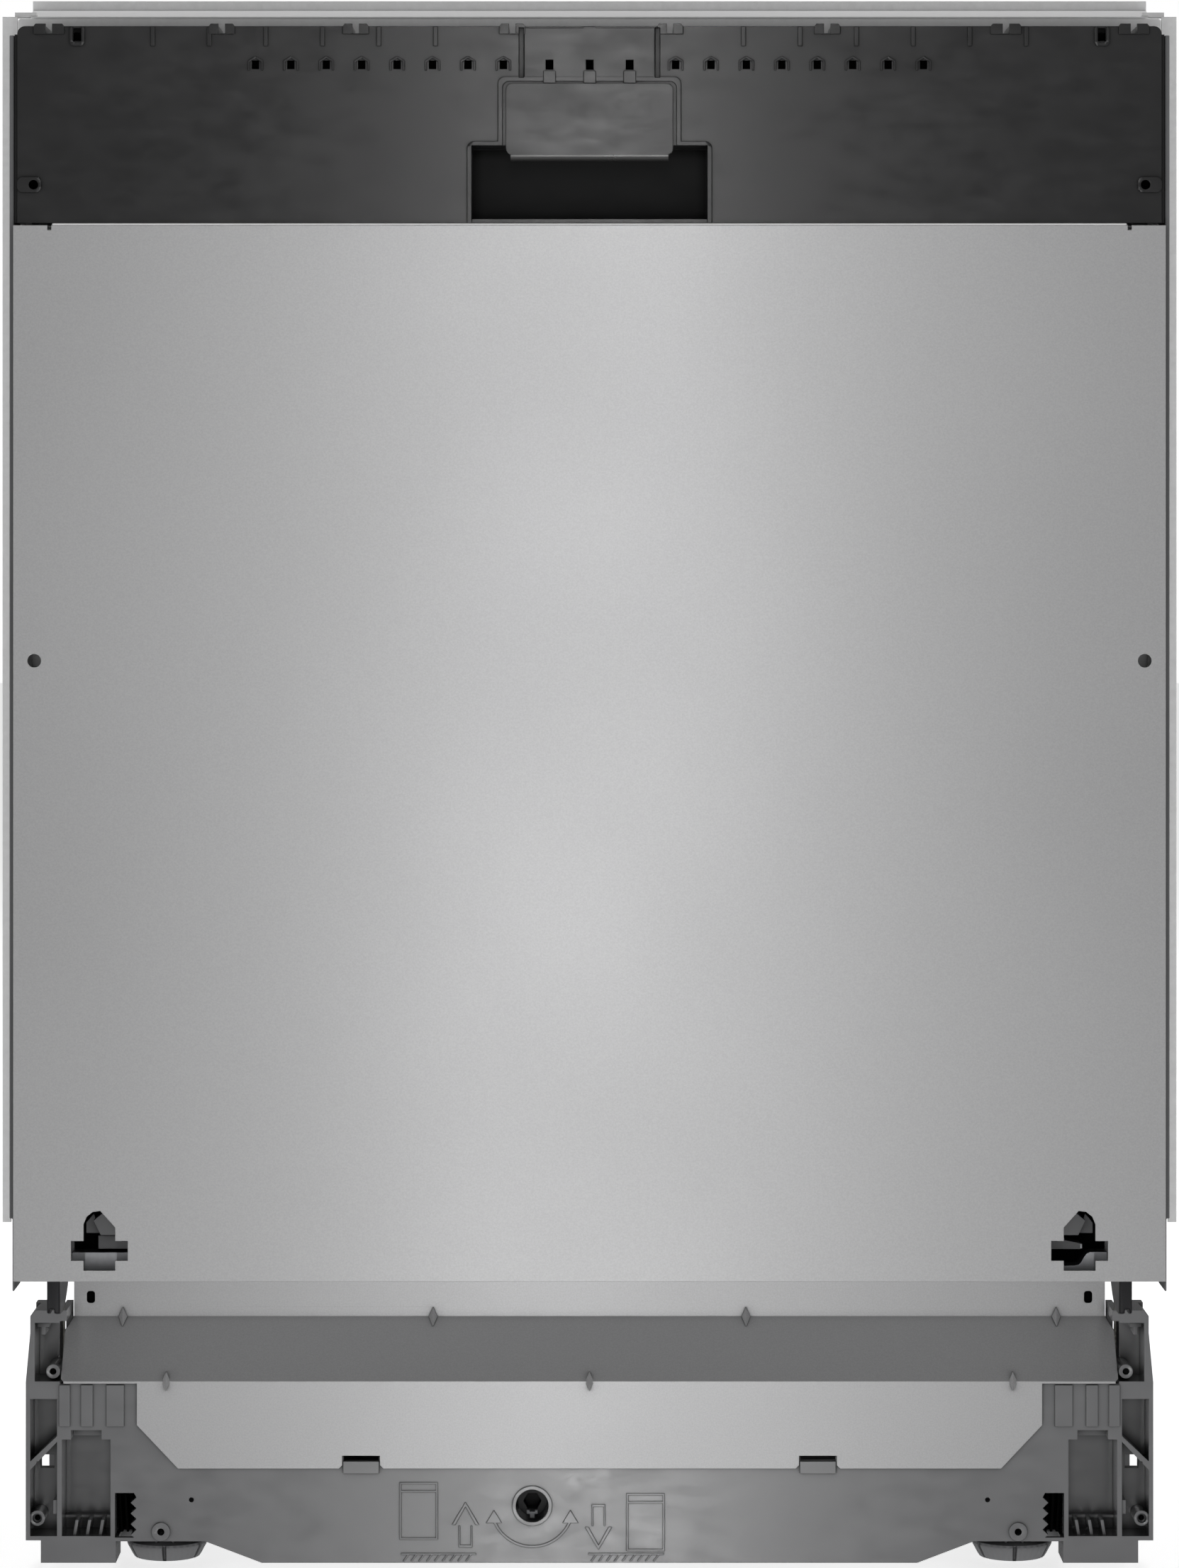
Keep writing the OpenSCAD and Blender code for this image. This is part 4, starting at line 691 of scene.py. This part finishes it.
def foot_piece(node, x, y, stem):
    """A foot: ribbed disc with radial slots, and a threaded stem."""
    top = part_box(node)[1].z / MM
    bm = bmesh.new()
    up = facing(place(x, y, 0), (0, 0, 1))
    disc = [(15.8, 0), (16.9, 0.25), (18.2, 2.2), (19.6, 4.9), (20.5, 6.4), (20.75, 7.5), (20.2, 8.7),
            (17.8, 9.5), (13.5, 9.9), (12.6, 10.4), (9.6, 10.6)]

    def ribs(a, i):
        if not 1 <= i <= 5:
            return 1
        slot = abs((6 * a / (2 * math.pi)) % 1 - 0.5) < 0.035
        return 0.9 if slot else 1 - 0.012 * (0.5 + 0.5 * math.cos(36 * a))

    lathe(bm, disc, up, 216, ribs)
    pitch, depth = 2.5, 0.55
    rings = int((top - 10.2) / pitch * 8)

    def thread(a, i):
        if i >= rings:
            return 1
        turn = (i / 8 + a / (2 * math.pi)) % 1
        return 1 - depth / stem * (0.5 + 0.5 * math.cos(2 * math.pi * turn))

    stem_line = [(stem - 0.03, 10 + (top - 1.2 - 10) * i / rings) for i in range(rings + 1)]
    stem_line += [(stem - 1, top - 0.1)]
    lathe(bm, stem_line, up, 28, thread)
    for k in range(12):
        a = 2 * math.pi * (k + 0.5) / 12
        turn = Matrix.Rotation(a, 4, "Z")
        fin = bmesh.ops.create_cube(bm, size=1)["verts"]
        for v in fin:
            v.co = up @ (turn @ Vector(((14.9 + v.co.x * 4.4) * MM, v.co.y * 1.1 * MM,
                                        (10.0 + v.co.z * 1.2) * MM)))
    piece = mesh_piece(node + "_moulding", bm, "strip_plastic", node, 32)
    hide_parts(node)


# ---------------------------------------------------------------- seal, insulation, small parts
def door_seal():
    lo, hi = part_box("door_seal")
    half, top, corner = hi.x - 4 * MM, hi.z - 4 * MM, 17 * MM
    mid_y = (lo.y + hi.y) / 2
    bends = [(-half, lo.z + MM), (-half, top), (half, top), (half, lo.z + MM)]
    path = fillet([(x, mid_y, z) for x, z in bends], corner, 12)
    profile = [(-3.9, 4.6), (-3.9, 3.0), (-1.5, 2.2), (-2.8, 0.6), (-3.3, -1.4), (-2.5, -3.5),
               (-0.9, -4.5), (0.9, -4.5), (2.5, -3.5), (3.3, -1.4), (2.8, 0.6), (1.5, 2.2),
               (3.9, 3.0), (3.9, 4.6)]
    rings = []
    for i, p in enumerate(path):
        ahead = (path[min(i + 1, len(path) - 1)] - path[max(i - 1, 0)]).normalized()
        out = ahead.cross(Vector((0, 1, 0)))
        rings.append([p + out * n * MM + Vector((0, y * MM, 0)) for n, y in profile])
    bm = bmesh.new()
    loft(bm, rings)
    seal = mesh_piece("door_seal_profile", bm, "rubber_seal", "cabinet", 40)
    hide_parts("door_seal")


FELT_PITCH = 62                                   # between the fixing points of a felt board
SIDE_Y, SIDE_Z, SIDE_WIDE, SIDE_HIGH = -180, 245, 425, 525
BACK_X, BACK_Z, BACK_WIDE, BACK_HIGH = -263, 210, 526, 560


def felt_board(bm, origin, u, v, out, size_u, size_v, thick):
    """A felt board whose outer face swells between its fixing points."""
    nu, nv = int(size_u / 8), int(size_v / 8)
    fix_u, fix_v = round(size_u / FELT_PITCH), round(size_v / FELT_PITCH)
    outer, inner = [], []
    for i in range(nu + 1):
        row_o, row_i = [], []
        for j in range(nv + 1):
            a, b = i / nu, j / nv
            dimple = (abs(math.sin(math.pi * fix_u * a)) * abs(math.sin(math.pi * fix_v * b))) ** 0.45
            edge = min(1.0, min(a * size_u, (1 - a) * size_u, b * size_v, (1 - b) * size_v) / 9)
            rough = random.uniform(-0.25, 0.25)
            depth = thick - 4.2 + 3.4 * dimple * edge + 0.3 * edge - 4.5 * (1 - edge) ** 2 + rough
            p = Vector(origin) + Vector(u) * (a * size_u) + Vector(v) * (b * size_v)
            row_o.append(bm.verts.new(place(*(p + Vector(out) * min(depth, thick)))))
            row_i.append(bm.verts.new(place(*p)))
        outer.append(row_o)
        inner.append(row_i)
    for i in range(nu):
        for j in range(nv):
            bm.faces.new((outer[i][j], outer[i + 1][j], outer[i + 1][j + 1], outer[i][j + 1]))
            bm.faces.new((inner[i][j], inner[i][j + 1], inner[i + 1][j + 1], inner[i + 1][j]))
    for i in range(nu):
        for j in (0, nv):
            bm.faces.new((outer[i][j], inner[i][j], inner[i + 1][j], outer[i + 1][j]))
    for j in range(nv):
        for i in (0, nu):
            bm.faces.new((outer[i][j], outer[i][j + 1], inner[i][j + 1], inner[i][j]))


def insulation():
    bm = bmesh.new()
    for s in (-1, 1):
        felt_board(bm, (s * 267, SIDE_Y, SIDE_Z), (0, 1, 0), (0, 0, 1), (s, 0, 0),
                   SIDE_WIDE, SIDE_HIGH, 23)
    felt_board(bm, (BACK_X, 253, BACK_Z), (1, 0, 0), (0, 0, 1), (0, 1, 0),
               BACK_WIDE, BACK_HIGH, 16)
    boards = mesh_piece("insulation_boards", bm, "insulation_felt", "cabinet", 60)
    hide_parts("insulation")
    bm = bmesh.new()
    button = [(9.5, -2.6), (9.5, -1.4), (8.4, -0.5), (4.2, 0.1), (3.4, -0.5), (2.4, -0.6)]
    for s in (-1, 1):
        for i in range(1, 7, 2):
            for j in range(1, 8, 2):
                y, z = SIDE_Y + SIDE_WIDE * i / 7, SIDE_Z + SIDE_HIGH * j / 8
                lathe(bm, button, facing(place(s * 288, y, z), (s, 0, 0)), 24)
    for i in range(1, 8, 2):
        for j in range(1, 9, 2):
            x, z = BACK_X + BACK_WIDE * i / 8, BACK_Z + BACK_HIGH * j / 9
            lathe(bm, button, facing(place(x, 267.4, z), (0, 1, 0)), 24)
    mesh_piece("insulation_buttons", bm, "black_plastic", "cabinet")


def screw(bm, at, direction, radius, height):
    """A dome head with a six-lobed recess."""
    shape = [(1, 0), (1, 0.35), (0.86, 0.8), (0.6, 1), (0.44, 1), (0.40, 0.2)]
    outline = [(radius * r, height * h) for r, h in shape]

    def lobes(a, i):
        return 1 + 0.16 * math.cos(6 * a) if i >= 4 else 1

    lathe(bm, outline, facing(place(*at), direction), 48, lobes)


def screws():
    bm = bmesh.new()
    for s in (-1, 1):
        for z in (390, 620):
            screw(bm, (s * 287.5, -239, z), (0, -1, 0), 2.7, 1.3)
        for y in (-180, 0, 180):
            screw(bm, (s * 256.4, y, 510), (-s, 0, 0), 3.6, 1.6)
        screw(bm, (s * 26, -246.6, 768), (0, 1, 0), 2.6, 1.4)
        for z in (215, 245):
            screw(bm, (s * 279.6, -200, z), (s, 0, 0), 3.4, 1.5)
        for x in (40, 150, 250):
            screw(bm, (s * x, 274.0, 797), (0, 1, 0), 3.2, 0.9)
    mesh_piece("cabinet_screws", bm, "zinc_steel", "cabinet")


# ---------------------------------------------------------------- small parts of door and base
HOOK_FRONT, HOOK_BACK = -256, -242.6              # the parts behind the hook openings
FASCIA_BACK = (-271.4, -271.1)                    # y of the near-black sheet that paints the shade behind the fascia's holes


def plate(bm, outline, y0, y1, side=1):
    """A flat plate parallel to the front: x and z outline in mm, extruded from y0 to y1."""
    front = [bm.verts.new(place(side * x, y0, z)) for x, z in outline]
    back = [bm.verts.new(place(side * x, y1, z)) for x, z in outline]
    count = len(outline)
    bm.faces.new(front)
    bm.faces.new(back[::-1])
    for k in range(count):
        bm.faces.new((front[k], back[k], back[(k + 1) % count], front[(k + 1) % count]))


def block(bm, x0, x1, z0, z1, y0, y1, side=1):
    plate(bm, [(x0, z0), (x1, z0), (x1, z1), (x0, z1)], y0, y1, side)


def hook_housings():
    """What shows through the hook openings at the foot of the door."""
    dark, grey, pale = bmesh.new(), bmesh.new(), bmesh.new()
    for side in (-1, 1):
        # near-black sheet that paints the shade at the back of the hook opening
        block(dark, 231, 262, 154, 192.5, -242.5, -242.1, side)
        plate(grey, [(238.0, 177.6), (246.8, 177.6), (250.4, 184.9), (245.6, 188.8), (238.0, 183.0)],
              -262, -243.2, side)
        plate(grey, [(247.4, 177.6), (254.8, 177.6), (254.8, 182.9), (251.0, 187.4)], -254, -243.2, side)
    plate(grey, [(230.3, 169.7), (248.4, 169.7), (249.4, 171.2), (248.7, 172.5), (240.2, 174.3),
                 (239.8, 176.9), (236.8, 176.9), (236.8, 173.5), (230.3, 173.5)], HOOK_FRONT, HOOK_BACK)
    plate(grey, [(230.3, 169.9), (248.5, 169.9), (248.5, 176.5), (236.8, 176.5), (236.8, 173.5),
                 (230.3, 173.5)], HOOK_FRONT, HOOK_BACK, -1)
    block(pale, 248.2, 249.3, 170.1, 172.3, -256.1, -255.6)
    slope = [(245.5, 161.3), (247.4, 161.8), (248.8, 163.1), (250.2, 165.5), (251.6, 167.4),
             (253.2, 168.2)]
    plate(pale, [(236, 154.5), (236, 161.3), *slope, (262, 168.2), (262, 154.5)], HOOK_FRONT, HOOK_BACK)
    block(pale, 231, 262, 154.5, 168.0, HOOK_FRONT, HOOK_BACK, -1)
    mesh_piece("hook_recess_painted_shade", dark, "black_plastic", "door", look="shade_stand_in")
    mesh_piece("hook_housings", grey, "strip_plastic", "door")
    mesh_piece("hook_guides", pale, "strip_plastic", "door", look="zinc_steel")


def painted_shade_backings():
    """Near-black sheets that paint the shade behind the small openings of the fascia, the kick sheet and
    the base.
    """
    bm = bmesh.new()
    block(bm, -178, 178, 761.6, 773.5, *FASCIA_BACK)
    for side in (-1, 1):
        block(bm, 252.5, 262.5, 777, 783.8, *FASCIA_BACK, side)
        block(bm, 275, 283.5, 702.5, 712, *FASCIA_BACK, side)
    mesh_piece("fascia_painted_shade", bm, "black_plastic", "door", look="shade_stand_in")
    bm = bmesh.new()
    for side in (-1, 1):
        block(bm, 254, 263.5, 131, 141.5, -192.4, -192.0, side)
        block(bm, 231.6, 243.4, 16.5, 40.2, -199, -197.2, side)
        for k in range(3):
            x = 234 + 3 * k
            plate(bm, [(x, 18), (x + 1.2, 18), (x + 2.4, 38), (x + 1.2, 38)], -212, -199, side)
    mesh_piece("base_painted_shade", bm, "black_plastic", "cabinet", look="shade_stand_in")
    bm = bmesh.new()
    tee = [(-1.2, -7.2), (1.2, -7.2), (1.2, -5.0), (2.8, -5.0), (2.8, -3.2), (1.4, -3.2), (1.4, -3.9),
           (-1.4, -3.9), (-1.4, -3.2), (-2.8, -3.2), (-2.8, -5.0), (-1.2, -5.0)]
    plate(bm, [(x - 29.4, z + 33.3) for x, z in tee], -217.5, -215.5)
    mesh_piece("adjuster_key", bm, "base_plastic", "cabinet", look="grey_plastic")


def grip_details():
    """The scoop behind the grip, darkened as painted shade, its finger lip, and the hem under the
    fascia, whose bright line is a painted highlight.
    """
    bm = bmesh.new()
    columns, rows = 30, 12
    grid = [[bm.verts.new(place(-59.1 + 118.2 * i / columns, -247.8 + 1.5 * (j / rows) ** 2,
                                690.3 + 36.4 * j / rows)) for j in range(rows + 1)]
            for i in range(columns + 1)]
    for i in range(columns):
        for j in range(rows):
            bm.faces.new((grid[i][j], grid[i + 1][j], grid[i + 1][j + 1], grid[i][j + 1]))
    # the scoop wears the darker copy of the fascia plastic: painted shade in the recess
    mesh_piece("grip_scoop", bm, "fascia_plastic", "door", look="scoop")
    bm = bmesh.new()
    lip_radius, lip_y, lip_z = 2.93, -272, 722.2
    arc = [(lip_y - lip_radius * math.cos(math.radians(a)),
            lip_z - lip_radius * math.sin(math.radians(a))) for a in range(0, 181, 12)]
    loft(bm, [[place(x, y, z) for y, z in arc] for x in (-39.7, 39.7)])
    mesh_piece("finger_lip", bm, "fascia_plastic", "door", look="lip")
    bm = bmesh.new()
    rounded_bar(bm, place(-270, -274.9, 686.6), place(270, -273.6, 687.9), 0.5)
    # painted highlight: the hem of the door sheet wears the near-white cover finish so it shows as a
    # bright line
    mesh_piece("panel_hem", bm, "sheet_steel", "door", look="cover_steel")


add_camera()
add_lights()
add_world()
add_floor()
MATERIALS = make_materials()
finish_cad_nodes()
upper_rack()
lower_rack()
tine_rows()
cup_shelves()
spray_arm("lower_spray_arm", 207.5, 211)
spray_arm("upper_spray_arm", 450, 204)
door_springs()
foot_piece("foot_front_left", -219.7, -182, 5)
foot_piece("foot_front_right", 219.7, -182, 5)
foot_piece("foot_rear", 0, 215, 6)
door_seal()
insulation()
screws()
hook_housings()
painted_shade_backings()
grip_details()
bpy.context.scene.view_settings.view_transform = "Standard"
